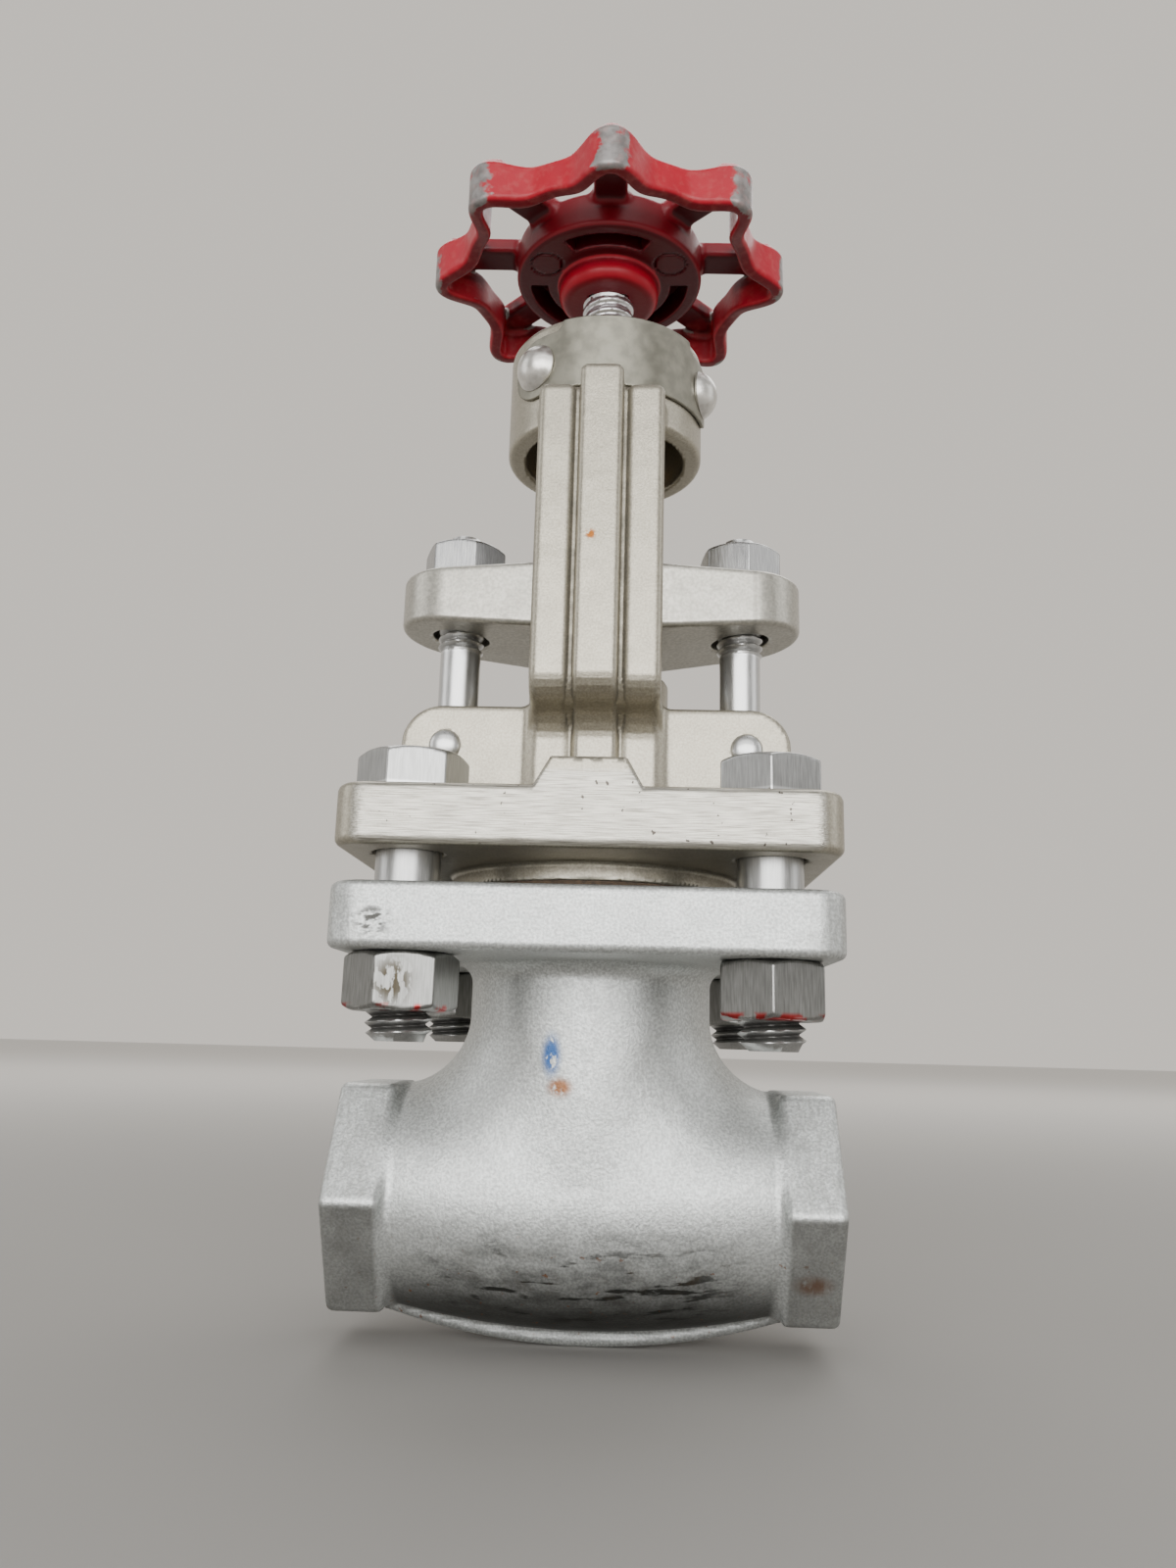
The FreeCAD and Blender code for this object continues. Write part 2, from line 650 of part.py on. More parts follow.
def bent_bar(name, front, top, inner, width, offset=0.0):
    """An arm profile with its two front bends rounded."""
    bar = slab(name, "YZ_Plane", arm_outline(front, top, inner), width, offset)
    heights = [corner.value for corner in bend_corners()]
    faces = [-(dim.arm_foot + front).value, -(dim.arm_front + front).value]

    def bend(edge):
        box_item = edge.BoundBox
        flat = box_item.YLength < 0.01 and box_item.ZLength < 0.01
        return flat and any(abs(box_item.ZMin - height) < 0.01 and abs(box_item.YMin - face) < 0.01
                            for height, face in zip(heights, faces))

    return fillet(name + "_bent", bar, dim.bend_radius, bend)


def round_front(name, bar, front, top):
    """Round the long edges of a bar's front face, and its front edge at the top."""
    low, high = [corner.value for corner in bend_corners()]
    foot, face = (dim.arm_foot + front).value, (dim.arm_front + front).value

    def on_front(edge):
        middle = edge.valueAt((edge.FirstParameter + edge.LastParameter) / 2)
        if edge.BoundBox.XLength > 0.01:
            return abs(middle.z - top.value) < 0.01 and abs(middle.y + face) < 0.01
        if edge.Curve.TypeId == "Part::GeomCircle":
            return True
        share = min(max((middle.z - low) / (high - low), 0.0), 1.0)
        return abs(middle.y + foot + share * (face - foot)) < 1.1

    return fillet(name, bar, dim.wall_skin, on_front)


def side_ridge(name, side):
    width = dim.arm_half - dim.rib_half - dim.groove_width
    centre = dim.arm_half - width / 2
    front = as_size(0.0)
    ridge = bent_bar(name, front, dim.ridge_top, False, width, centre * side)
    return round_front(name + "_edges", ridge, front, dim.ridge_top)


def arm(name, turn):
    backing = bent_bar(name + "_backing", -dim.groove_depth, dim.ridge_top, True, dim.arm_half * 2)
    left = side_ridge(name + "_left", -1)
    right = side_ridge(name + "_right", 1)
    rib = bent_bar(name + "_rib", dim.rib_proud, dim.rib_top, True, dim.rib_half * 2)
    rib_round = round_front(name + "_rib_edges", rib, dim.rib_proud, dim.rib_top)
    return place(fuse(name, [backing, left, right, rib_round]), (0, 0, 0), Z, turn)


def lug_plates():
    width = dim.lug_half
    corner = dim.lug_corner
    low = dim.bonnet_flange_top - OVER
    outline = [
        (-width, low), (width, low), (width, dim.lug_top - corner, corner),
        (width - corner, dim.lug_top), (corner - width, dim.lug_top, corner),
        (-width, dim.lug_top - corner),
    ]
    thickness = dim.lug_front - dim.lug_back
    middle = (dim.lug_front + dim.lug_back) / 2
    front = slab("lug_front_plate", "XZ_Plane", outline, thickness, -middle)
    back = slab("lug_back_plate", "XZ_Plane", outline, thickness, middle)
    return [front, back]


def bonnet_flange():
    size = dim.flange_half * 2
    plate = box("bonnet_plate", (size, size, dim.bonnet_flange_top - dim.bonnet_flange_low),
                (-dim.flange_half, -dim.flange_half, dim.bonnet_flange_low))
    corners = fillet("bonnet_plate_corners", plate, dim.flange_corner, upright)
    edges = fillet("bonnet_plate_edges", corners, dim.wall_skin, flat_rim)
    top = dim.bonnet_flange_top
    base = dim.tab_base / 2
    crown = dim.tab_crown / 2
    tab = slab("tab", "XZ_Plane", [
        (-base, top - 2.0), (base, top - 2.0), (base, top), (crown, top + dim.tab_height),
        (-crown, top + dim.tab_height), (-base, top),
    ], dim.tab_depth, dim.tab_depth / 2 - dim.flange_half)
    return [edges, tab]


def yoke_hub():
    outside = cylinder("hub_outside", dim.hub_radius, dim.hub_top - dim.hub_low, (0, 0, dim.hub_low))
    return fillet("hub_round", outside, dim.wall_skin, flat_rim)


def rivet_places():
    return (("left", dim.left_rivet), ("right", dim.right_rivet))


def radial(angle):
    """The outward direction at an angle in degrees from the front, towards +X."""
    radians = math.radians(angle)
    return FreeCAD.Vector(math.sin(radians), -math.cos(radians), 0)


def rivet_holes(name, radius):
    return [cylinder(name + side, radius, dim.hub_radius + 4.0, (0, 0, dim.rivet_height),
                     radial(angle.value)) for side, angle in rivet_places()]


def make_bonnet():
    spigot = cylinder("spigot", dim.face_radius, dim.bonnet_flange_low - dim.gasket_top + OVER,
                      (0, 0, dim.gasket_top))
    stuffing = cylinder("stuffing_outside", dim.box_outer, dim.box_top - dim.bonnet_flange_top + OVER,
                        (0, 0, dim.bonnet_flange_top - OVER))
    casting = fuse("bonnet_casting", bonnet_flange() + lug_plates() + [
        spigot, stuffing, arm("front_arm", 0.0), arm("back_arm", 180.0), yoke_hub()])
    low = dim.gasket_top - OVER
    tools = [
        cylinder("bonnet_hollow", dim.bonnet_recess, dim.backseat_low - low, (0, 0, low)),
        cylinder("backseat_hole", dim.backseat_radius, dim.box_floor - low, (0, 0, low)),
        cylinder("packing_hole", dim.box_bore, dim.box_top - dim.box_floor + 6.0, (0, 0, dim.box_floor)),
        cylinder("hub_hollow_hole", dim.hub_hollow, dim.hub_roof - dim.hub_low + OVER,
                 (0, 0, dim.hub_low - OVER)),
        cylinder("bushing_hole", dim.bushing_radius, dim.hub_top - dim.hub_roof + OVER * 2,
                 (0, 0, dim.hub_roof - OVER)),
    ]
    for side in (-1, 1):
        tools.append(cylinder("pin_hole" + str(side + 2), dim.pin_radius, dim.lug_front * 2 + OVER * 2,
                              (dim.gland_bolt * side, -dim.lug_front - OVER, dim.pin_height), Y))
        room = dim.eye_radius + dim.eye_room
        tools.append(box("eye_gap" + str(side + 2), (room * 2, dim.lug_back * 2, room * 2),
                         (dim.gland_bolt * side - room, -dim.lug_back, dim.pin_height - room)))
    tools += rivet_holes("hub_rivet_hole_", dim.rivet_shank)
    tools += bolt_holes("bonnet_hole", dim.bonnet_flange_low, dim.bonnet_flange_top)
    finish(cut("bonnet_cut", casting, tools), "bonnet")


def make_bonnet_fittings():
    finish(ring("bonnet_gasket", dim.face_radius - 0.4, dim.neck_bore, dim.gasket_low, dim.gasket_top),
           "bonnet_gasket")
    finish(ring("backseat_bushing", dim.backseat_radius, dim.stem_radius + dim.running_gap,
                dim.backseat_low, dim.box_floor), "backseat_bushing")
    bore = dim.stem_radius + dim.running_gap
    finish(lathe("yoke_bushing_turned", [
        (bore, dim.bushing_low), (dim.bushing_flange, dim.bushing_low),
        (dim.bushing_flange, dim.hub_roof), (dim.bushing_radius, dim.hub_roof),
        (dim.bushing_radius, dim.hub_top + 0.4), (bore, dim.hub_top + 0.4),
    ]), "yoke_bushing")
    rings = []
    for number in range(int(dim.packing_count.value)):
        low = dim.box_floor + dim.packing_step * number
        rings.append(ring("packing_" + str(number + 1), dim.box_bore, bore, low, low + dim.packing_height))
    finish(group("packing_set", rings), "packing_rings")


# ---------------------------------------------------------------- bolting


def chamfered_hexagon(name, flats, height, at, turn, both_ends):
    """A hexagon whose corners are turned off by a 30 degree cone, as on a nut or a bolt head."""
    prism = hexagon(name + "_prism", flats, height, at, Z, turn)
    crown = flats * dim.crown_share
    wide = crown + height * (1 / math.tan(math.radians(30)))
    shaped = common(name + "_top", prism, cone(name + "_cap", wide, crown, height, at))
    if not both_ends:
        return shaped
    return common(name + "_both", shaped, cone(name + "_cup", crown, wide, height, at))


def make_bolting():
    bolts = []
    nuts = []
    for number, ((sx, sy), turn) in enumerate(four_corners(), start=1):
        x, y = dim.bolt_offset * sx, dim.bolt_offset * sy
        head = chamfered_hexagon("bolt_head" + str(number), dim.bolt_flats, dim.bolt_head,
                                 (x, y, dim.bonnet_flange_top), turn, False)
        low = dim.bonnet_flange_top - dim.bolt_length
        shank = cylinder("bolt_shank" + str(number), dim.bolt_radius, dim.bolt_length + OVER, (x, y, low))
        bolts.append(fuse("bolt" + str(number), [head, shank]))
        nut = chamfered_hexagon("bolt_nut" + str(number), dim.bolt_flats, dim.bolt_nut,
                                (x, y, dim.body_flange_low - dim.bolt_nut), turn, True)
        hole = cylinder("bolt_nut_hole" + str(number), dim.bolt_radius, dim.bolt_nut + OVER * 2,
                        (x, y, dim.body_flange_low - dim.bolt_nut - OVER))
        nuts.append(cut("bolt_nut_cut" + str(number), nut, [hole]))
    finish(group("bolt_set", bolts), "bonnet_bolts")
    finish(group("nut_set", nuts), "bonnet_nuts")


# ---------------------------------------------------------------- gland


def gland_plan():
    """Plan of the gland flange: round ends and a wider middle, joined by straight tangents."""
    slope = math.asin((dim.gland_mid.value - dim.gland_end.value) / dim.gland_bolt.value)
    across, along = math.sin(slope), math.cos(slope)
    end_x = dim.gland_bolt + dim.gland_end * across
    end_y = dim.gland_end * along
    mid_x = dim.gland_mid * across
    mid_y = dim.gland_mid * along
    return [
        (end_x, -end_y, dim.gland_end), (end_x, end_y), (mid_x, mid_y, dim.gland_mid),
        (-mid_x, mid_y), (-end_x, end_y, dim.gland_end), (-end_x, -end_y),
        (-mid_x, -mid_y, dim.gland_mid), (mid_x, -mid_y),
    ]


def make_gland_flange():
    plan = slab("gland_plan", "XY_Plane", gland_plan(), (dim.gland_top - dim.gland_keel) * 2,
                dim.gland_top)
    reach = dim.gland_bolt + dim.gland_end + OVER
    side = slab("gland_side", "XZ_Plane", [
        (-reach, dim.gland_low), (-dim.gland_flat, dim.gland_keel), (dim.gland_flat, dim.gland_keel),
        (reach, dim.gland_low), (reach, dim.gland_top), (-reach, dim.gland_top),
    ], dim.gland_mid * 3)
    blank = fillet("gland_blank", common("gland_rough", plan, side), dim.wall_skin * 0.9, gland_rim)
    tools = [cylinder("gland_stem_hole", dim.gland_bore, dim.gland_top, (0, 0, dim.gland_keel - OVER)),
             cylinder("gland_seat_hole", dim.follower_head + 0.1, dim.follower_top - dim.gland_keel + OVER,
                      (0, 0, dim.gland_keel - OVER))]
    for side_sign in (-1, 1):
        tools.append(cylinder("gland_bolt_hole" + str(side_sign + 2), dim.gland_hole, dim.gland_top,
                              (dim.gland_bolt * side_sign, 0, dim.gland_keel - OVER)))
    finish(cut("gland_cut", blank, tools), "gland_flange")


def gland_rim(edge):
    """Whether an edge runs round the flat top of the gland flange."""
    box_item = edge.BoundBox
    return box_item.ZLength < 0.01 and box_item.ZMin > dim.gland_top.value - 0.01


def make_gland_follower():
    bore = dim.stem_radius + dim.running_gap
    finish(lathe("gland_follower_turned", [
        (bore, dim.follower_low), (dim.follower_radius, dim.follower_low),
        (dim.follower_radius, dim.follower_rim), (dim.follower_head, dim.follower_rim + 1.2),
        (dim.follower_head, dim.follower_top), (bore, dim.follower_top),
    ]), "gland_follower")


def make_eyebolts():
    for side in (-1, 1):
        name = "left" if side < 0 else "right"
        x = dim.gland_bolt * side
        eye = cylinder("eye_" + name, dim.eye_radius, dim.eye_half * 2,
                       (x, -dim.eye_half, dim.pin_height), Y)
        shank = cylinder("eye_shank_" + name, dim.eyebolt_shank, dim.eyebolt_runout - dim.pin_height,
                         (x, 0, dim.pin_height))
        thread = cylinder("eye_thread_" + name, dim.eyebolt_thread,
                          dim.eyebolt_top - dim.eyebolt_runout, (x, 0, dim.eyebolt_runout))
        crown = cone("eye_crown_" + name, dim.eyebolt_thread, dim.eyebolt_thread - dim.eyebolt_crown,
                     dim.eyebolt_crown, (x, 0, dim.eyebolt_top))
        bolt = fuse("eyebolt_" + name + "_solid", [eye, shank, thread, crown])
        hole = cylinder("eye_hole_" + name, dim.eye_bore, dim.eye_half * 2 + OVER * 2,
                        (x, -dim.eye_half - OVER, dim.pin_height), Y)
        finish(cut("eyebolt_" + name + "_cut", bolt, [hole]), "eyebolt_" + name)
        pin = cylinder("pin_shank_" + name, dim.pin_radius, dim.lug_front * 2,
                       (x, -dim.lug_front, dim.pin_height), Y)
        heads = [cone("pin_head_" + name + end, dim.pin_dome, dim.pin_dome * 0.55, dim.pin_proud,
                      (x, dim.lug_front * sign, dim.pin_height), Y * sign)
                 for end, sign in (("front", -1), ("back", 1))]
        finish(fuse("pin_" + name, [pin] + heads), "eyebolt_pin_" + name)


def make_gland_nuts():
    for side, turn in ((-1, 52.0), (1, 38.0)):
        name = "left" if side < 0 else "right"
        at = (dim.gland_bolt * side, 0, dim.gland_top)
        nut = chamfered_hexagon("gland_nut_hex_" + name, dim.gland_flats, dim.gland_nut, at, turn, False)
        hole = cylinder("gland_nut_hole_" + name, dim.eyebolt_thread + dim.thread_gap,
                        dim.gland_nut + OVER * 2, (at[0], 0, dim.gland_top - OVER))
        finish(cut("gland_nut_cut_" + name, nut, [hole]), "gland_nut_" + name)


# ---------------------------------------------------------------- handwheel


def lobed_wire(radius):
    """A closed smooth curve with one outward lobe at each spoke."""
    count = int(dim.lobe_count.value)
    steps = count * 12
    points = []
    for step in range(steps):
        angle = 2 * math.pi * step / steps
        share = (1 + math.cos(count * angle)) / 2
        reach = radius + dim.rim_wave.value * share ** dim.lobe_power.value
        direction = radial(math.degrees(angle) + dim.lobe_turn.value)
        points.append(direction * reach)
    curve = Part.BSplineCurve()
    curve.interpolate(Points=points, PeriodicFlag=True)
    return Part.Wire([curve.toShape()])


def wheel_rim():
    outer = lobed_wire(dim.rim_radius.value)
    inner = lobed_wire(dim.rim_radius.value - dim.rim_thick.value)
    band = Part.Face(outer).cut(Part.Face(inner))
    solid = band.extrude(Z * (dim.rim_high.value - dim.rim_low.value))
    return feature("wheel_rim", solid.Solids[0], (0, 0, dim.rim_low.value))


def wheel_spokes():
    spokes = []
    count = int(dim.lobe_count.value)
    for number in range(count):
        turn = 360.0 / count * number + dim.lobe_turn.value
        start = radial(turn + 90.0) * (-dim.spoke_width.value / 2) + radial(turn) * dim.spoke_start.value
        start.z = dim.spoke_low.value
        length = dim.rim_radius + dim.rim_wave - dim.rim_thick / 2 - dim.spoke_start
        spokes.append(box("spoke" + str(number + 1),
                          (length, dim.spoke_width, dim.spoke_high - dim.spoke_low),
                          tuple(start), turn - 90.0))
    return spokes


def disc_slots():
    slots = []
    height = dim.slot_depth + OVER
    for number, middle in enumerate((0.0, 120.0, 240.0), start=1):
        turn = middle - 90.0 - dim.slot_angle.value / 2
        sector = cylinder("slot_sector" + str(number), dim.slot_outer, height,
                          (0, 0, dim.disc_low - OVER), Z, turn, dim.slot_angle)
        core = cylinder("slot_core" + str(number), dim.slot_inner, height + OVER * 2,
                        (0, 0, dim.disc_low - OVER * 2))
        slots.append(cut("slot" + str(number), sector, [core]))
    return slots


def make_handwheel():
    centre = lathe("wheel_centre", [
        (0, dim.wheel_low), (dim.wheel_hub - dim.wheel_bevel, dim.wheel_low),
        (dim.wheel_hub, dim.wheel_low + dim.wheel_bevel), (dim.wheel_hub, dim.disc_low),
        (dim.disc_radius, dim.disc_low), (dim.disc_radius, dim.disc_high),
        (dim.wheel_hub, dim.disc_high), (dim.wheel_hub, dim.wheel_high), (0, dim.wheel_high),
    ])
    slotted = cut("wheel_slotted", centre, disc_slots())
    blank = fuse("wheel_blank", [slotted, wheel_rim()] + wheel_spokes())
    side = dim.wheel_square + dim.square_gap * 2
    hole = box("wheel_square_hole", (side, side, dim.wheel_high - dim.wheel_low + OVER * 2),
               (-(side / 2), -(side / 2), dim.wheel_low - OVER))
    finish(cut("wheel_cut", blank, [hole]), "handwheel")
    top = dim.wheel_high + dim.washer_thick
    finish(ring("wheel_washer", dim.washer_radius, dim.stud_radius + 0.2, dim.wheel_high, top),
           "wheel_washer")
    nut = chamfered_hexagon("wheel_nut_hex", dim.wheel_nut_flats, dim.wheel_nut, (0, 0, top), 10.0, False)
    hole = cylinder("wheel_nut_hole", dim.stud_radius, dim.wheel_nut + OVER * 2, (0, 0, top - OVER))
    finish(cut("wheel_nut_cut", nut, [hole]), "wheel_nut")


# ---------------------------------------------------------------- nameplate


def plate_sector(name, first, last, low, top):
    """Part of a thin shell round the hub between two angles from the front."""
    return cylinder(name, dim.hub_radius + dim.plate_thick, top - low, (0, 0, low), Z,
                    first - 90.0, last - first)


def make_nameplate():
    left, right = dim.left_rivet.value, dim.right_rivet.value
    inset = dim.plate_inset.value
    pieces = [plate_sector("plate_middle", left + inset, right - inset, dim.plate_low, dim.plate_top)]
    ear_low = dim.rivet_height - dim.ear_radius
    ear_top = dim.rivet_height + dim.ear_radius
    pieces.append(plate_sector("plate_left", left, left + inset, ear_low, ear_top))
    pieces.append(plate_sector("plate_right", right - inset, right, ear_low, ear_top))
    for side, angle in rivet_places():
        around = plate_sector("ear_shell_" + side, angle.value - 30.0, angle.value + 30.0,
                              ear_low - OVER, ear_top + OVER)
        disc = cylinder("ear_disc_" + side, dim.ear_radius, dim.hub_radius + 4.0,
                        (0, 0, dim.rivet_height), radial(angle.value))
        pieces.append(common("ear_" + side, around, disc))
    inside = cylinder("plate_inside", dim.hub_radius, dim.hub_top - dim.hub_low, (0, 0, dim.hub_low))
    holes = rivet_holes("plate_hole_", dim.rivet_shank)
    shell = cut("plate_shell", fuse("plate_blank", pieces), [inside] + holes)
    finish(shell, "nameplate")
    rivets = []
    for side, angle in rivet_places():
        out = radial(angle.value)
        seat = dim.hub_radius + dim.plate_thick
        face = out * seat.value
        shank_start = out * (dim.hub_hollow.value + 0.2)
        shank = cylinder("rivet_shank_" + side, dim.rivet_shank, seat - dim.hub_hollow,
                         (shank_start.x, shank_start.y, dim.rivet_height), out)
        ball_radius = (dim.rivet_head.value ** 2 + dim.rivet_dome.value ** 2) / (2 * dim.rivet_dome.value)
        middle = out * (seat.value + dim.rivet_dome.value - ball_radius)
        ball = doc.addObject("Part::Sphere", "rivet_ball_" + side)
        ball.Radius = ball_radius
        place(ball, (middle.x, middle.y, dim.rivet_height))
        keep = cylinder("rivet_keep_" + side, dim.rivet_head, 4.0,
                        (face.x, face.y, dim.rivet_height), out)
        dome = common("rivet_dome_" + side, ball, keep)
        rivets.append(fuse("rivet_" + side, [shank, dome]))
    finish(group("rivet_set", rivets), "nameplate_rivets")


def write_parts():
    doc.recompute()
    for item in doc.Objects:
        if "Invalid" in item.State or "Error" in item.State:
            raise RuntimeError(item.Name + " failed: " + ", ".join(item.State))
    os.makedirs("parts", exist_ok=True)
    for item in NODES:
        shape = item.Shape
        if shape.isNull() or not shape.isValid() or not shape.Solids:
            raise RuntimeError(item.Label + " has no valid shape")
        shape.exportStep("parts/" + item.Label + ".step")
        print(item.Label, len(shape.Solids), round(shape.Volume, 1))


make_body()
make_seats()
make_wedge()
make_stem()
make_bonnet()
make_bonnet_fittings()
make_bolting()
make_gland_flange()
make_gland_follower()
make_eyebolts()
make_gland_nuts()
make_handwheel()
make_nameplate()
write_parts()
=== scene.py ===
"""Looks of the gate valve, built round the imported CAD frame. Shapes are in millimetres, then scaled."""

import json
import math

import bpy
import numpy as np
from mathutils import Matrix, Vector


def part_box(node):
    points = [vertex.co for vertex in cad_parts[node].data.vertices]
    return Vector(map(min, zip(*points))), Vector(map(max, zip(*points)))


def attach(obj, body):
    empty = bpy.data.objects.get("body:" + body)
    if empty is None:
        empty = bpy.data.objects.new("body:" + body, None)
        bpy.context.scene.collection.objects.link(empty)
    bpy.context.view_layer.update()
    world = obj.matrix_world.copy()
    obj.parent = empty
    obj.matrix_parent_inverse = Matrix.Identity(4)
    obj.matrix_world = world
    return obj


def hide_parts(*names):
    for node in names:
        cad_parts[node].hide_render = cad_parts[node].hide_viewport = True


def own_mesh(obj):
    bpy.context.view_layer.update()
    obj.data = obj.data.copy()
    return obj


MM = 0.001
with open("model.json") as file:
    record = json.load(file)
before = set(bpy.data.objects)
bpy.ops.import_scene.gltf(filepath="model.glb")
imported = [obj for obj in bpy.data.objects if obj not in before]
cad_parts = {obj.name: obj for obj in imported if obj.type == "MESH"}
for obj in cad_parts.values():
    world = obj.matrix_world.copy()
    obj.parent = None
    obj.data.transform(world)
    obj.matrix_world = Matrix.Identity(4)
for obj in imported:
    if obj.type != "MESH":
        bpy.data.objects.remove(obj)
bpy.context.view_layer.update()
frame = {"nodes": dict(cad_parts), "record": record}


def node_box(node):
    """Lowest and highest corner of a CAD node, in millimetres."""
    low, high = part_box(node)
    return np.array(low) / MM, np.array(high) / MM


# -------- distance fields
# A field takes the coordinates x, y, z, which broadcast together, and returns the signed
# distance to a shape: negative inside it.


def union(a, b, fillet, alike=0.0):
    """Either shape, with the inside corner between them filled to a radius.

    alike is the cosine of the angle between the two surfaces' normals, 0 where they are square.
    """
    near_a = np.maximum(fillet - a, 0)
    near_b = np.maximum(fillet - b, 0)
    filled = (near_a > alike * near_b) & (near_b > alike * near_a)
    reach = near_a * near_a + near_b * near_b - 2 * alike * near_a * near_b
    return np.where(filled, fillet - np.sqrt(reach / (1 - alike * alike)), np.minimum(a, b))


def any_of(first, *others):
    """Any of several shapes, with the corners between them left sharp."""
    for other in others:
        first = np.minimum(first, other)
    return first


def cut(a, b, edge):
    """The first shape without the second, with the new edges rounded."""
    return -union(-a, b, edge)


def both(a, b, edge):
    """What two shapes share, with the new edges rounded."""
    return -union(-a, -b, edge)


def solid(flat, along, edge):
    """Join a flat outline's distance and the distance along its normal, rounding the rim."""
    u = flat + edge
    v = along + edge
    outside = np.hypot(np.maximum(u, 0), np.maximum(v, 0))
    return outside + np.minimum(np.maximum(u, v), 0) - edge


def between(value, low, high):
    """Distance of a coordinate outside the stretch from low to high."""
    return np.abs(value - (low + high) / 2) - (high - low) / 2


def rod(u, v, w, radius, low, high, edge):
    """A cylinder of a radius about u = v = 0, from low to high along w."""
    return solid(np.hypot(u, v) - radius, between(w, low, high), edge)


def rectangle(u, v, half_u, half_v, corner):
    """A flat rectangle about the origin with round corners."""
    a = np.abs(u) - half_u + corner
    b = np.abs(v) - half_v + corner
    return np.hypot(np.maximum(a, 0), np.maximum(b, 0)) + np.minimum(np.maximum(a, b), 0) - corner


def hexagon(u, v, flats, corner):
    """A flat hexagon with two corners on the u axis, and its corners rounded."""
    half = flats / 2 - corner
    a, b = np.abs(u), np.abs(v)
    cos, sin, tan = -math.sqrt(3) / 2, 0.5, 1 / math.sqrt(3)
    fold = 2 * np.minimum(cos * a + sin * b, 0)
    a = a - fold * cos
    b = b - fold * sin
    a = a - np.clip(a, -tan * half, tan * half)
    b = b - half
    return np.hypot(a, b) * np.sign(b) - corner


def polygon(u, v, points):
    """Signed distance to a closed outline of (u, v) points."""
    nearest = np.full(np.broadcast(u, v).shape, np.inf)
    inside = np.ones(nearest.shape)
    for (ax, ay), (bx, by) in zip(points, points[1:] + points[:1]):
        ex, ey = bx - ax, by - ay
        wx, wy = u - ax, v - ay
        share = np.clip((wx * ex + wy * ey) / (ex * ex + ey * ey), 0, 1)
        nearest = np.minimum(nearest, (wx - ex * share) ** 2 + (wy - ey * share) ** 2)
        above, below = v >= ay, v < by
        side = ex * wy > ey * wx
        crossed = (above & below & side) | (~above & ~below & ~side)
        inside = np.where(crossed, -inside, inside)
    return np.sqrt(nearest) * inside


def rounded(corners, steps=6):
    """Corner points (u, v, radius) as an outline whose corners are arcs."""
    outline = []
    for index, (u, v, radius) in enumerate(corners):
        here = Vector((u, v))
        back = (Vector(corners[index - 1][:2]) - here).normalized()
        ahead = (Vector(corners[(index + 1) % len(corners)][:2]) - here).normalized()
        half = back.angle(ahead) / 2
        centre = here + (back + ahead).normalized() * radius / math.sin(half)
        first = here + back * radius / math.tan(half) - centre
        last = here + ahead * radius / math.tan(half) - centre
        for step in range(steps + 1 if radius else 1):
            spoke = first.lerp(last, step / steps) if radius else Vector((0, 0))
            outline.append(tuple(centre + spoke.normalized() * radius))
    return outline


# -------- meshing
# A shape is its points in millimetres, a list of face arrays, its normals or None, and two
# marks for each point: how hidden it is in a corner, and how exposed it is on an edge. They
# come from probes above and below the surface, each a distance in mm and its weight. A thread
# is hidden in its roots and exposed on its crests.

HIDDEN_PROBES = ((0.8, 0.35), (2.0, 0.35), (4.5, 0.3))
EXPOSED_PROBES = ((0.6, 0.5), (1.4, 0.5))
ROOT_HIDDEN, CREST_EXPOSED = 0.8, 0.3
SHARP_ANGLE = math.radians(42)


def grid_lines(low, high, cell, fine=None):
    """Grid lines from below low to above high, closer in a fine stretch (from, to, cell)."""
    if fine is None:
        return np.arange(low - 2 * cell, high + 3 * cell, cell)
    start, stop, step = fine
    before = np.arange(start - cell, low - 3 * cell, -cell)[::-1]
    after = np.arange(stop + cell, high + 3 * cell, cell)
    return np.concatenate([before, np.arange(start, stop + step / 2, step), after])


def box_lines(box, cell):
    """Grid lines of one cell size round a (low, high) box, for the three axes."""
    return [grid_lines(low, high, cell) for low, high in zip(*box)]


def net(field, lines):
    """Corner points and quads of the surface where the field is zero (a surface net)."""
    x, y, z = [axis.astype(np.float32) for axis in lines]
    count = tuple(len(axis) for axis in lines)
    value = np.broadcast_to(field(x[:, None, None], y[None, :, None], z[None, None, :]), count)
    value = value.astype(np.float32)
    inner = value < 0
    shape = tuple(number - 1 for number in count)
    total = np.zeros(shape + (3,), np.float32)
    hits = np.zeros(shape, np.float32)
    crossings = []
    for axis in range(3):
        first, second = [slice(None)] * 3, [slice(None)] * 3
        first[axis], second[axis] = slice(0, -1), slice(1, None)
        first, second = tuple(first), tuple(second)
        where = np.argwhere(inner[first] != inner[second])
        start, stop = value[first][tuple(where.T)], value[second][tuple(where.T)]
        point = where.astype(np.float32)
        point[:, axis] += start / (start - stop)
        one, two = [other for other in range(3) if other != axis]
        corners = []
        for step_one, step_two in ((0, 0), (1, 0), (1, 1), (0, 1)):
            owner = where.copy()
            owner[:, one] -= step_one
            owner[:, two] -= step_two
            np.add.at(total, tuple(owner.T), point)
            np.add.at(hits, tuple(owner.T), 1)
            corners.append(owner)
        keep = (start < 0) if axis != 1 else (start >= 0)
        crossings.append((corners, keep))
    used = hits > 0
    number = np.full(shape, -1, np.int64)
    number[used] = np.arange(used.sum())
    place = total[used] / hits[used][:, None]
    points = [np.interp(place[:, axis], np.arange(count[axis]), lines[axis]) for axis in range(3)]
    quads = []
    for corners, keep in crossings:
        quad = np.stack([number[tuple(owner.T)] for owner in corners], 1)
        quad[~keep] = quad[~keep][:, ::-1]
        quads.append(quad)
    return np.stack(points, 1), np.concatenate(quads)


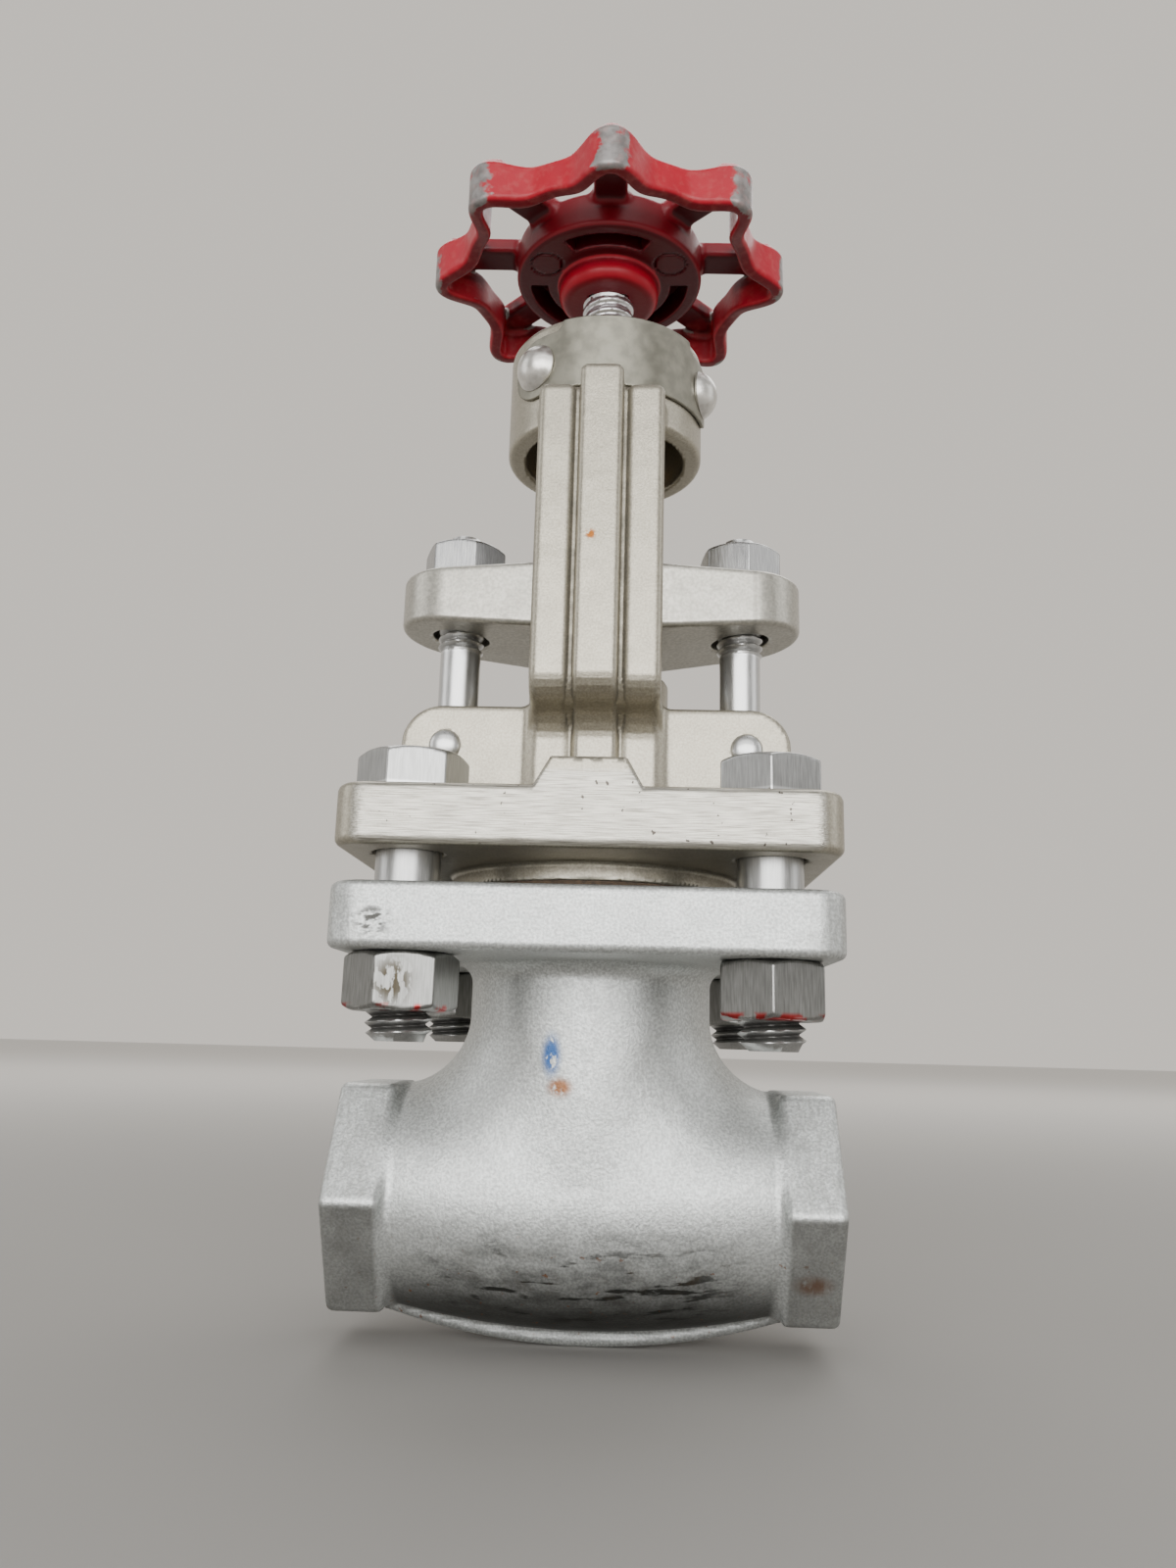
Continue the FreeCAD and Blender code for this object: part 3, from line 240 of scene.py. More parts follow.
def slope_of(field, points, step):
    """Unit outward normals of a field at points, and the size of its slope."""
    slope = np.empty_like(points)
    for axis in range(3):
        ahead, behind = points.copy(), points.copy()
        ahead[:, axis] += step
        behind[:, axis] -= step
        slope[:, axis] = (field(*ahead.T) - field(*behind.T)) / (2 * step)
    size = np.maximum(np.linalg.norm(slope, axis=1), 0.1)
    return slope / size[:, None], size


def field_shape(field, lines, reach=0.3):
    """The surface of a field, with its points moved onto it by up to the reach each time."""
    points, quads = net(field, lines)
    for _ in range(2):
        normal, size = slope_of(field, points, 0.02)
        points = points - normal * np.clip(field(*points.T) / size, -reach, reach)[:, None]
    normal, _ = slope_of(field, points, 0.05)
    hidden, exposed = np.zeros(len(points)), np.zeros(len(points))
    for away, weight in HIDDEN_PROBES:
        hidden += weight * np.clip(1 - field(*(points + normal * away).T) / away, 0, 1)
    for away, weight in EXPOSED_PROBES:
        exposed += weight * np.clip(1 + field(*(points - normal * away).T) / away, 0, 1)
    return points, [quads], normal, hidden, exposed


def thread_depth(turns, crest):
    """How deep a thread is cut at a number of turns along it: 0 on its crests, 1 in its roots."""
    saw = np.abs((turns % 1) * 2 - 1)
    return np.clip((saw - crest) / (1 - 2 * crest), 0, 1)


def turned_rows(radii, heights, angle):
    """Rows of points turned about z, with the index of each and of the one to its right."""
    points = np.stack(np.broadcast_arrays(radii * np.cos(angle), radii * np.sin(angle), heights), 2)
    index = np.arange(points[..., 0].size).reshape(points.shape[:2])
    return points.reshape(-1, 3), index, np.roll(index, -1, 1)


def turned_shape(profile, thread=None, columns=72):
    """A bar turned about z from (height, radius) points, with an optional thread.

    The thread is (low, top, pitch, depth, crest), and it fades in over its first half turn.
    """
    rows = [profile[0]]
    for (z0, r0), (z1, r1) in zip(profile, profile[1:]):
        count = max(1, math.ceil(abs(z1 - z0) / (thread[2] / 12))) if thread and r0 == r1 else 1
        rows += [(z0 + (z1 - z0) * n / count, r0 + (r1 - r0) * n / count) for n in range(1, count + 1)]
    heights, radii = np.array(rows).T[:, :, None]
    angle = np.linspace(0, 2 * math.pi, columns, endpoint=False)[None, :]
    depth = np.zeros((len(rows), columns))
    if thread:
        low, top, pitch, deep, crest = thread
        fade = np.clip(np.minimum(heights - low, top - heights) / (pitch / 2), 0, 1)
        depth = thread_depth(heights / pitch - angle / (2 * math.pi), crest) * fade
        radii = radii - depth * deep
    points, index, right = turned_rows(radii, heights, angle)
    quads = np.stack([index[:-1], right[:-1], right[1:], index[1:]], 2).reshape(-1, 4)
    caps = []
    for row, order in ((0, -1), (-1, 1)):
        middle = len(points) + len(caps)
        fan = np.stack([np.full(columns, middle), index[row], right[row]], 1)
        caps.append(fan if order > 0 else fan[:, ::-1])
    points = np.concatenate([points, [[0, 0, rows[0][0]], [0, 0, rows[-1][0]]]])
    marks = np.concatenate([depth.ravel(), [0, 0]])
    return points, [quads] + caps, None, marks * ROOT_HIDDEN, (1 - marks) * CREST_EXPOSED


def ring_shape(inner, outer, low, top, thread, columns=96):
    """A ring about z with a threaded bore; inner is the bore's radius at low and at top.

    The thread is (pitch, depth, crest).
    """
    pitch, deep, crest = thread
    count = math.ceil((top - low) / (pitch / 10))
    heights = np.concatenate([np.linspace(low, top, count), [top, low]])[:, None]
    angle = np.linspace(0, 2 * math.pi, columns, endpoint=False)[None, :]
    depth = thread_depth(heights / pitch - angle / (2 * math.pi), crest)
    depth[-2:] = 0
    radii = np.concatenate([np.linspace(*inner, count), [outer, outer]])[:, None] + deep * depth
    points, index, right = turned_rows(radii, heights, angle)
    quads = np.stack([index, np.roll(index, -1, 0), np.roll(right, -1, 0), right], 2).reshape(-1, 4)
    marks = depth.ravel()
    return points, [quads], None, marks * ROOT_HIDDEN, (1 - marks) * CREST_EXPOSED


def joined(*shapes):
    """Several shapes as one, whose zero normals leave every edge smooth."""
    points, faces, _, hidden, exposed = zip(*shapes)
    starts = np.cumsum([0] + [len(part) for part in points])
    faces = [part + start for group, start in zip(faces, starts) for part in group]
    points = np.concatenate(points)
    return points, faces, np.zeros(points.shape), np.concatenate(hidden), np.concatenate(exposed)


def moved(shape, at=(0, 0, 0), axis="Z", turn=0.0):
    """A shape turned about an axis by degrees, then moved."""
    points, faces, normals, hidden, exposed = shape
    matrix = np.array(Matrix.Rotation(math.radians(turn), 3, axis)).T
    normals = None if normals is None else normals @ matrix
    return points @ matrix + np.array(at, float), faces, normals, hidden, exposed


def added(name, data):
    """A new object in the scene."""
    item = bpy.data.objects.new(name, data)
    bpy.context.collection.objects.link(item)
    return item


def piece(name, shape, nodes, slot, body="valve_body", finish=None):
    """An object on a CAD body in place of some nodes, with its slot's material or another finish."""
    points, faces, normals, hidden, exposed = shape
    mesh = bpy.data.meshes.new(name)
    mesh.vertices.add(len(points))
    mesh.vertices.foreach_set("co", (points * MM).astype(np.float32).ravel())
    corners = np.concatenate([part.ravel() for part in faces])
    sizes = np.concatenate([np.full(len(part), part.shape[1]) for part in faces])
    mesh.loops.add(len(corners))
    mesh.loops.foreach_set("vertex_index", corners.astype(np.int32))
    mesh.polygons.add(len(sizes))
    mesh.polygons.foreach_set("loop_start", (np.cumsum(sizes) - sizes).astype(np.int32))
    mesh.update(calc_edges=True)
    mesh.polygons.foreach_set("use_smooth", np.ones(len(sizes), bool))
    for key, values in (("hidden", hidden), ("exposed", exposed)):
        mesh.attributes.new(key, "FLOAT", "POINT").data.foreach_set("value", values.astype(np.float32))
    if normals is None:
        mesh.set_sharp_from_angle(angle=SHARP_ANGLE)
    else:
        mesh.normals_split_custom_set_from_vertices(normals)
    item = added(name, mesh)
    mesh.materials.append(MATERIALS[finish or slot])
    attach(item, body)
    if nodes:
        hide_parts(*nodes)
    return item


# -------- materials


class Nodes:
    """A node tree with a few helpers."""

    def __init__(self, tree):
        self.tree = tree

    def node(self, kind, feeds=None, **settings):
        """A new node with its settings, and with what feeds its inputs."""
        made = self.tree.nodes.new(kind)
        for key, value in settings.items():
            setattr(made, key, value)
        for key, value in (feeds or {}).items():
            self.feed(made.inputs[key], value)
        return made

    def feed(self, socket, value):
        """Link a socket to another node's output, or give it a plain value."""
        if isinstance(value, bpy.types.NodeSocket):
            self.tree.links.new(value, socket)
        elif socket.type == "RGBA":
            socket.default_value = (*value, 1)
        else:
            socket.default_value = value

    def step(self, value, start, stop):
        """0 below start and 1 above stop, smoothly between; start may be above stop."""
        low, high = (1, 0) if start > stop else (0, 1)
        feeds = {"Value": value, "From Min": min(start, stop), "From Max": max(start, stop),
                 "To Min": low, "To Max": high}
        return self.node("ShaderNodeMapRange", feeds, interpolation_type="SMOOTHSTEP").outputs[0]

    def mix(self, share, first, second):
        """The first colour, giving way to the second as the share goes from 0 to 1."""
        feeds = {"Factor": share, 6: first, 7: second}
        return self.node("ShaderNodeMix", feeds, data_type="RGBA").outputs[2]


class Finish(Nodes):
    """A procedural material whose helpers work in millimetres."""

    def __init__(self, name, metallic, **sockets):
        self.material = bpy.data.materials.new(name)
        self.material.use_nodes = True
        super().__init__(self.material.node_tree)
        self.shader = self.tree.nodes["Principled BSDF"]
        self.shader.inputs["Metallic"].default_value = metallic
        for key, value in sockets.items():
            self.shader.inputs[key.replace("_", " ")].default_value = value
        self.place = self.scaled(self.node("ShaderNodeTexCoord").outputs["Object"], (1 / MM,) * 3)

    def scaled(self, vector, factors):
        return self.vector("MULTIPLY", vector, factors).outputs[0]

    def vector(self, operation, *values):
        return self.node("ShaderNodeVectorMath", dict(enumerate(values)), operation=operation)

    def maths(self, operation, *values):
        """One step of maths; a sum is kept from 0 to 1."""
        clamp = operation == "ADD"
        feeds = dict(enumerate(values))
        return self.node("ShaderNodeMath", feeds, operation=operation, use_clamp=clamp).outputs[0]

    def times(self, first, *others):
        for other in others:
            first = self.maths("MULTIPLY", first, other)
        return first

    def total(self, first, *others):
        for other in others:
            first = self.maths("ADD", first, other)
        return first

    def noise(self, size, detail=3, stretch=(1, 1, 1), shift=0.0):
        """Noise whose features are about size mm, longer along an axis by its stretch."""
        place = self.scaled(self.place, tuple(1 / (size * part) for part in stretch))
        place = self.vector("ADD", place, (shift,) * 3).outputs[0]
        return self.node("ShaderNodeTexNoise", {"Vector": place, "Scale": 1, "Detail": detail}).outputs[0]

    def span(self, value, low, high):
        """A 0 to 1 value stretched to run from low to high."""
        return self.node("ShaderNodeMapRange", {"Value": value, "To Min": low, "To Max": high}).outputs[0]

    def over(self, colour, paint, *shares):
        """A colour with another laid over it, as much as the product of the shares."""
        return self.mix(self.times(*shares), colour, paint)

    def mark(self, name):
        return self.node("ShaderNodeAttribute", attribute_name=name).outputs["Fac"]

    def axis(self, letter):
        """One coordinate of the point, in mm."""
        return self.node("ShaderNodeSeparateXYZ", {0: self.place}).outputs[letter]

    def from_stem(self):
        """Distance of the point from the stem axis, in mm."""
        return self.vector("LENGTH", self.scaled(self.place, (1, 1, 0))).outputs["Value"]

    def from_middle(self, letter, middle=0.0):
        """Distance of one coordinate of the point from a value, in mm."""
        return self.maths("ABSOLUTE", self.maths("SUBTRACT", self.axis(letter), middle))

    def spot(self, centre, radii):
        """1 at a centre in mm, falling to 0 at the radii from it."""
        away = self.vector("SUBTRACT", self.place, centre).outputs[0]
        away = self.vector("LENGTH", self.scaled(away, tuple(1 / radius for radius in radii)))
        return self.step(away.outputs["Value"], 1.0, 0.3)

    def bumps(self, *layers):
        """Bump from (height, distance in mm) layers."""
        normal = None
        for height, distance in layers:
            feeds = {"Distance": distance * MM, "Strength": 1, "Height": height}
            if normal is not None:
                feeds["Normal"] = normal
            normal = self.node("ShaderNodeBump", feeds).outputs["Normal"]
        self.feed(self.shader.inputs["Normal"], normal)

    def done(self, colour, roughness):
        self.feed(self.shader.inputs["Base Color"], colour)
        self.feed(self.shader.inputs["Roughness"], roughness)
        return self.material


# dark colour of grime, also used as painted shade in the corners of steel
GRIME_AND_SHADE = (0.022, 0.019, 0.015)
RUST = (0.26, 0.09, 0.018)
BLUE = (0.005, 0.085, 0.30)
RED_SMEAR = (0.36, 0.012, 0.014)

# Marks left by use, each as its centre and its half sizes in mm.
BLUE_SPOT = (-5.0, -19, 21.5), (2.0, 8, 4.2)
FLANGE_SMUDGE = (-29.0, -36, 39.0), (3.6, 3, 3.2)
NUT_SMUDGE = (-26, -34, 31), (4, 4, 4.5)
ARM_RUST = (-1.2, -22.5, 102), (1.2, 4, 1.2)
NECK_RUST = (-3.6, -19, 17), (2.6, 8, 1.9)
END_RUST = (33.5, -15, -10), (4.0, 6, 2.2)
# Heights from and to of the red paint along the bottom of the flange nuts.
NUT_PAINT = (26.9, 28.3)


def cast_finish(name, light, dark, roughness, grain, depth, worn=(0.74, 0.74, 0.72)):
    """Shot-blast cast metal: grimy and darker with painted shade in its corners, rubbed bright on its edges,
    soiled on the outermost.
    """
    f = Finish(name, 0.88)
    fine = f.noise(grain, 2)
    broad = f.noise(9)
    colour = f.mix(f.step(fine, 0.30, 0.72), dark, light)
    colour = f.mix(f.span(broad, 0.0, 0.3), colour, dark)
    patches = f.span(f.step(f.noise(2.6, 4), 0.30, 0.65), 0.45, 1.0)
    # grime with painted shade: darker in corners and grooves, as much as they are hidden
    grime_and_shade_mask = f.times(f.step(f.mark("hidden"), 0.12, 0.6), patches)
    colour = f.over(colour, (0.06, 0.055, 0.045), grime_and_shade_mask, 0.5)
    rubbed = f.times(f.step(f.mark("exposed"), 0.22, 0.5), f.step(f.noise(1.3), 0.35, 0.6))
    colour = f.over(colour, worn, rubbed, 0.45)
    outer = f.maths("MAXIMUM", *[f.step(f.from_middle(letter), 34.0, 35.2) for letter in "XY"])
    soiled = f.times(f.step(f.mark("exposed"), 0.05, 0.25), f.step(f.noise(2.0, 6, shift=9.0), 0.46, 0.56))
    colour = f.over(colour, (0.035, 0.032, 0.026), soiled, outer, 0.8)
    rough = f.span(f.noise(2.5), roughness - 0.06, roughness + 0.08)
    f.bumps((fine, depth), (broad, 0.25))
    return f, colour, f.total(rough, f.times(grime_and_shade_mask, 0.25))


def body_finish():
    """The body's casting, stained under its barrel, with painted shade beside its keel and on the lower
    faces of its hex ends, and paint and rust marks on its front.
    """
    f, colour, rough = cast_finish("body_casting", (0.71, 0.73, 0.71), (0.45, 0.46, 0.45), 0.46, 0.40, 0.05)
    above_keel = f.step(f.axis("Z"), -20.6, -19.6)
    low = f.times(f.step(f.axis("Z"), -0.5, -9.5), above_keel)
    front = f.step(f.axis("Y"), -2.0, -12.0)
    middle = f.step(f.from_middle("X"), 27.0, 15.0)
    haze = f.times(f.step(f.noise(2.2, 6, (2, 1, 1)), 0.34, 0.68), 0.55)
    streaks = f.total(haze, f.step(f.noise(1.5, 5, (4.5, 1, 1), shift=2.0), 0.56, 0.66))
    soot = f.mix(f.step(f.noise(3.0, 3, shift=4.0), 0.52, 0.68), (0.016, 0.016, 0.013), (0.05, 0.032, 0.014))
    colour = f.over(colour, soot, low, front, middle, streaks, 0.92)
    smudge = f.step(f.noise(0.8, 5, (2.5, 1, 1)), 0.46, 0.56)
    colour = f.over(colour, GRIME_AND_SHADE, f.spot(*FLANGE_SMUDGE), smudge, 0.9)
    # painted shade: the underside of the barrel beside the keel is painted near black
    under = f.times(f.step(f.axis("Z"), -6.0, -17.0), above_keel)
    beside_keel_shade = f.times(f.step(f.from_middle("X"), 29.0, 27.5), f.step(f.from_middle("Y"), 2.2, 3.4))
    colour = f.over(colour, (0.035, 0.036, 0.03), under, beside_keel_shade, 0.92)
    colour = f.over(colour, RUST, f.step(f.noise(1.1, 2, shift=7.0), 0.69, 0.74), low, 0.7)
    colour = f.over(colour, BLUE, f.spot(*BLUE_SPOT), f.step(f.noise(1.1, 3, (1, 1, 2)), 0.36, 0.44), 0.9)
    for spot, size in ((NECK_RUST, 1.0), (END_RUST, 2.0)):
        colour = f.over(colour, RUST, f.spot(*spot), f.step(f.noise(size, 4), 0.30, 0.46), 0.9)
    # painted shade: the hex ends are mottled darker below their middle
    ends = f.step(f.from_middle("X"), 29.5, 30.5)
    below = f.times(f.step(f.axis("Z"), 0.3, -0.5), f.span(f.noise(4.0, 4), 0.25, 0.85))
    colour = f.over(colour, (0.12, 0.12, 0.11), ends, below)
    sanded = f.step(f.noise(0.6, 5, (1, 3, 5)), 0.40, 0.66)
    return f.done(f.over(colour, (0.32, 0.32, 0.30), ends, sanded, 0.4), rough)


def bonnet_finish():
    """The bonnet's casting, its flange ground on the front, with a rust spot on the front arm."""
    f, colour, rough = cast_finish("bonnet_casting", (0.45, 0.417, 0.338), (0.33, 0.305, 0.247), 0.36, 0.36,
                                   0.03, (0.60, 0.57, 0.51))
    ground = f.times(f.step(f.axis("Y"), -35.4, -35.8), f.step(f.axis("Z"), 61.0, 60.0))
    marks = f.noise(0.13, 3, (34, 1, 1))
    brushed = f.mix(f.step(marks, 0.30, 0.66), (0.21, 0.20, 0.175), (0.55, 0.53, 0.47))
    colour = f.over(colour, brushed, ground, 0.8)
    pits = f.step(f.noise(1.1, 2, shift=3.0), 0.70, 0.73)
    colour = f.over(colour, (0.05, 0.04, 0.035), pits, ground, 0.9)
    colour = f.over(colour, RUST, f.spot(*ARM_RUST), f.step(f.noise(0.6), 0.42, 0.52))
    return f.done(colour, rough)


def gland_finish():
    """The gland's casting, with a seam across each end."""
    f, colour, rough = cast_finish("gland_casting", (0.53, 0.51, 0.45), (0.38, 0.365, 0.32), 0.34, 0.5,
                                   0.012)
    seam = f.step(f.from_middle("X", 26.0), 0.5, 0.2)
    return f.done(f.over(colour, (0.2, 0.19, 0.17), seam, 0.35), rough)


def steel_finish(name, light, dark, roughness, grime_and_shade_strength, paint=None):
    """Turned or drawn steel with streaks along its axis, and grime and painted shade in its corners.

    paint is the (from, to) height of red paint on the front, which also brings a brown smudge.
    """
    f = Finish(name, 0.95)
    streaks = f.noise(0.22, 3, (1, 1, 14))
    colour = f.mix(f.step(streaks, 0.25, 0.80), dark, light)
    colour = f.mix(f.span(f.noise(4.0, 2), 0, 0.5), colour, dark)
    # grime with painted shade: darker in corners and thread roots, as much as they are hidden
    grime_and_shade_mask = f.times(f.step(f.mark("hidden"), 0.15, 0.6), grime_and_shade_strength)
    colour = f.mix(grime_and_shade_mask, colour, GRIME_AND_SHADE)
    if paint:
        low, high = paint
        edge = f.times(f.step(f.axis("Z"), high, high - 0.7), f.step(f.axis("Z"), low - 0.3, low))
        patches = f.step(f.noise(4.0, 3, shift=5.0), 0.48, 0.55)
        colour = f.over(colour, RED_SMEAR, edge, patches, f.step(f.axis("Y"), -20.0, -24.0), 0.9)
        smudge = f.step(f.noise(0.9, 5, (1, 1, 2)), 0.46, 0.54)
        colour = f.over(colour, (0.03, 0.022, 0.009), f.spot(*NUT_SMUDGE), smudge, 0.9)
    colour = f.over(colour, (0.84, 0.84, 0.83), f.step(f.mark("exposed"), 0.22, 0.5), 0.6)
    f.bumps((streaks, 0.006))
    return f.done(colour, f.total(f.span(streaks, roughness - 0.05, roughness + 0.08), f.times(grime_and_shade_mask, 0.3)))


def wheel_finish():
    """Red enamel with painted shade underneath, in its corners and inside the rim, worn to grey metal on its
    outer edges and the tips of its lobes.
    """
    f = Finish("wheel_paint", 0.0, Coat_Weight=0.12, Coat_Roughness=0.25, Specular_IOR_Level=0.3)
    broad = f.noise(5)
    red = f.mix(f.span(broad, 0, 1), (0.39, 0.003, 0.017), (0.27, 0.002, 0.012))
    facing = f.node("ShaderNodeSeparateXYZ", {0: f.node("ShaderNodeTexCoord").outputs["Normal"]})
    # painted shade on faces that look downward
    downward_shade = f.times(f.step(facing.outputs["Z"], -0.7, -0.95), 0.7)
    # painted shade in corners, as much as they are hidden
    corners = f.times(f.step(f.mark("hidden"), 0.1, 0.5), 0.8)
    # painted shade on the disc and spokes inside the rim, outside the hub
    inner_shade = f.times(f.step(f.from_stem(), 26.0, 22.0), f.step(f.from_stem(), 9.6, 10.8), 0.55)
    red = f.mix(f.total(downward_shade, corners, inner_shade), red, (0.07, 0.001, 0.005))
    chips = f.total(f.times(f.noise(2.4, 4), 0.6), f.times(f.noise(0.6), 0.08))
    tips = f.times(f.step(f.from_stem(), 30.2, 33.0), 0.42)
    wear = f.step(f.total(f.times(f.mark("exposed"), 0.85), chips, tips), 0.62, 0.74)
    wear = f.times(wear, f.step(f.from_stem(), 19.0, 24.0))
    metal = f.mix(f.step(f.noise(1.6, 4), 0.3, 0.7), (0.16, 0.147, 0.142), (0.27, 0.256, 0.247))
    colour = f.mix(wear, red, metal)
    dust = f.times(f.step(f.noise(1.4, 4), 0.45, 0.7), 0.15)
    colour = f.over(colour, (0.42, 0.14, 0.12), dust, f.step(f.from_stem(), 22.0, 26.0))
    f.feed(f.shader.inputs["Metallic"], f.times(wear, 0.5))
    f.bumps((f.times(wear, -1.0), 0.03), (f.noise(1.2), 0.05))
    return f.done(colour, f.span(broad, 0.34, 0.5))


def plain_finish(name, metallic, light, dark, roughness, size=1.5, depth=0.02):
    """A plain material, lightly mottled."""
    f = Finish(name, metallic)
    grain = f.noise(size)
    f.bumps((grain, depth))
    colour = f.mix(f.step(grain, 0.3, 0.7), dark, light)
    return f.done(colour, f.span(grain, roughness - 0.05, roughness + 0.08))


# Light colour, dark colour, roughness, strength of grime and painted shade in corners, and the heights of
# any paint.
STEELS = {
    "bolting_steel": ((0.52, 0.52, 0.51), (0.33, 0.33, 0.32), 0.30, 0.7),
    "flange_nut_steel": ((0.35, 0.35, 0.335), (0.20, 0.20, 0.19), 0.30, 0.8, NUT_PAINT),
    "gland_nut_steel": ((0.44, 0.44, 0.43), (0.26, 0.26, 0.26), 0.24, 0.35),
    "eyebolt_steel": ((0.68, 0.68, 0.67), (0.54, 0.54, 0.53), 0.28, 0.3),
}
# How metallic, light colour, dark colour, roughness, and the size and depth of the mottling.
PLAINS = {
    "stem_steel": (1.0, (0.78, 0.78, 0.79), (0.70, 0.70, 0.71), 0.30, 4.0, 0.002),
    "trim_steel": (1.0, (0.62, 0.62, 0.61), (0.48, 0.48, 0.47), 0.28),
    "bushing_bronze": (1.0, (0.62, 0.42, 0.18), (0.44, 0.28, 0.11), 0.34),
    "gasket": (0.0, (0.12, 0.08, 0.05), (0.06, 0.042, 0.03), 0.8, 0.8, 0.05),
    "packing": (0.0, (0.06, 0.06, 0.065), (0.02, 0.02, 0.022), 0.6, 0.7, 0.08),
    "nameplate_metal": (0.9, (0.29, 0.278, 0.228), (0.205, 0.196, 0.16), 0.42, 2.5, 0.03),
    "rivet_metal": (0.95, (0.72, 0.70, 0.66), (0.56, 0.54, 0.50), 0.30, 1.2, 0.04),
}
MATERIALS = {"body_casting": body_finish(), "bonnet_casting": bonnet_finish(),
             "gland_casting": gland_finish(), "wheel_paint": wheel_finish()}
MATERIALS.update({name: steel_finish(name, *look) for name, look in STEELS.items()})
MATERIALS.update({name: plain_finish(name, *look) for name, look in PLAINS.items()})

# -------- valve body

body_low, body_high = node_box("body")
HALF_FACE, FLANGE_HALF, FACE_TOP = body_high
KEEL_BOTTOM = body_low[2]
FLANGE_CORNER, FLANGE_EDGE = 5.0, 1.1
BODY_FLANGE = (35.3, 44.6)
HEX_FLATS, HEX_START, HEX_CORNER, HEX_EDGE = 33.0, HALF_FACE - 8.7, 1.8, 1.1
BARREL_RADIUS, BARREL_ARC = 19.5, 135.7
NECK_RADIUS, NECK_FILLET = 19.35, 9.0
KEEL_ARC, KEEL_HALF = 104.3, 2.0
BOLT_PLACE, BOLT_RADIUS, BOLT_HOLE = 26.27, 4.76, 5.1
PORT_RADIUS, PORT_START = 12.9, HALF_FACE - 14.0
PORT_MOUTH, WATER_RADIUS, SEAT_RADIUS, SEAT_END = 1.2, 9.5, 12.0, 9.2
CHAMBER_HALF, CHAMBER_RADIUS, NECK_BORE, NECK_BORE_FLOOR = 7.5, 13.4, 14.5, 21
FACE_RADIUS = 23.3


def flange_field(x, y, z, heights):
    """A square flange between two heights."""
    return solid(rectangle(x, y, FLANGE_HALF, FLANGE_HALF, FLANGE_CORNER), between(z, *heights), FLANGE_EDGE)


def body_field(x, y, z):
    along, run, across = np.abs(x), np.hypot(y, z), np.hypot(x, y)
    barrel = np.hypot(x, run + BARREL_ARC - BARREL_RADIUS) - BARREL_ARC
    neck = np.maximum(across - NECK_RADIUS, -z)
    alike = np.clip(y * y / np.maximum(run * across, 1e-3), 0, 0.985)
    fillet = NECK_FILLET * (1 + 1.4 * np.minimum(np.abs(y) / BARREL_RADIUS, 1) ** 2)
    shape = np.maximum(union(barrel, neck, fillet, alike), along - HEX_START - 2)
    plate = flange_field(x, y, z, BODY_FLANGE)
    shape = union(np.maximum(shape, z - BODY_FLANGE[0] - 2), plate, 3.0)
    keel = solid(np.hypot(x, z - KEEL_BOTTOM - KEEL_ARC) - KEEL_ARC, np.abs(y) - KEEL_HALF, 1.2)
    keel = np.maximum(keel, np.maximum(z + 9, along - HEX_START - 1))
    shape = union(shape, keel, 0.5)
    ends = solid(hexagon(y, z, HEX_FLATS, HEX_CORNER), between(along, HEX_START, HALF_FACE), HEX_EDGE)
    shape = union(shape, ends, 1.6)
    face = rod(x, y, z, FACE_RADIUS, BODY_FLANGE[1] - 2, FACE_TOP, 0.3)
    shape = union(shape, face, 0.5)
    holes = np.hypot(np.abs(x) - BOLT_PLACE, np.abs(y) - BOLT_PLACE) - BOLT_HOLE
    shape = cut(shape, holes, 0.3)
    port = np.maximum(run - PORT_RADIUS, PORT_START - along)
    mouth = (run - PORT_RADIUS - PORT_MOUTH + HALF_FACE - along) * math.sqrt(0.5)
    seat = np.maximum(run - SEAT_RADIUS, along - SEAT_END)
    sides = np.where(z < 0, run, np.abs(y)) - CHAMBER_RADIUS
    chamber = np.maximum(along - CHAMBER_HALF, np.maximum(sides, z - 60))
    bore = np.maximum(across - NECK_BORE, NECK_BORE_FLOOR - z)
    return cut(shape, any_of(port, mouth, run - WATER_RADIUS, seat, chamber, bore), 0.25)


body_shape = field_shape(body_field, box_lines((body_low, body_high), 0.6))
piece("valve_body_casting", body_shape, ["body"], "body_casting")

PIPE_PITCH, PIPE_DEPTH = 1.814, 1.0
port = ring_shape((11.75, 12.1), PORT_RADIUS + 0.4, PORT_START, HALF_FACE - 0.9,
                  (PIPE_PITCH, PIPE_DEPTH, 0.06))
ports = [moved(port, axis="Y", turn=turn) for turn in (-90, 90)]
piece("port_threads", joined(*ports), [], "body_casting")

# -------- bonnet and yoke

bonnet_low, bonnet_high = node_box("bonnet")
HUB_TOP = bonnet_high[2]
BONNET_FLANGE = (49.6, 58.5)
TAB_HALF, TAB_HEIGHT, TAB_DEPTH, TAB_SLOPE, TAB_COSINE = 7.65, 4.1, 5, 0.56, 0.87
LUG_HALF, LUG_TOP, LUG_CORNER, LUG_FACES = 31.6, 76.8, 6.5, (5.0, 11.5)
PIN_X, PIN_Z, PIN_HOLE = 24.4, 70.0, 2.2
BOX_RADIUS, BOX_TOP, BOX_BORE, BOX_FLOOR = 12.0, 84.0, 8.2, 64.0
ARM_HALF, RIB_HALF, GROOVE, RIB_PROUD = 10.4, 3.55, 0.6, 1.1
ARM_FOOT, ARM_FRONT, ARM_INNER = 13.0, 21.6, 15.4
BEND_LOW, BEND_HIGH, BEND_RADIUS = 73.97, 76.43, 5.0
RIDGE_TOP, RIB_TOP = 129.5, 132.6
HUB_RADIUS, HUB_LOW, HUB_HOLLOW, HUB_ROOF, BUSHING_HOLE = 17.4, 125.5, 14.2, 136.5, 8.0
BACKSEAT_HOLE, RECESS_RADIUS, RECESS_TOP = 7.5, 9.0, 57.3


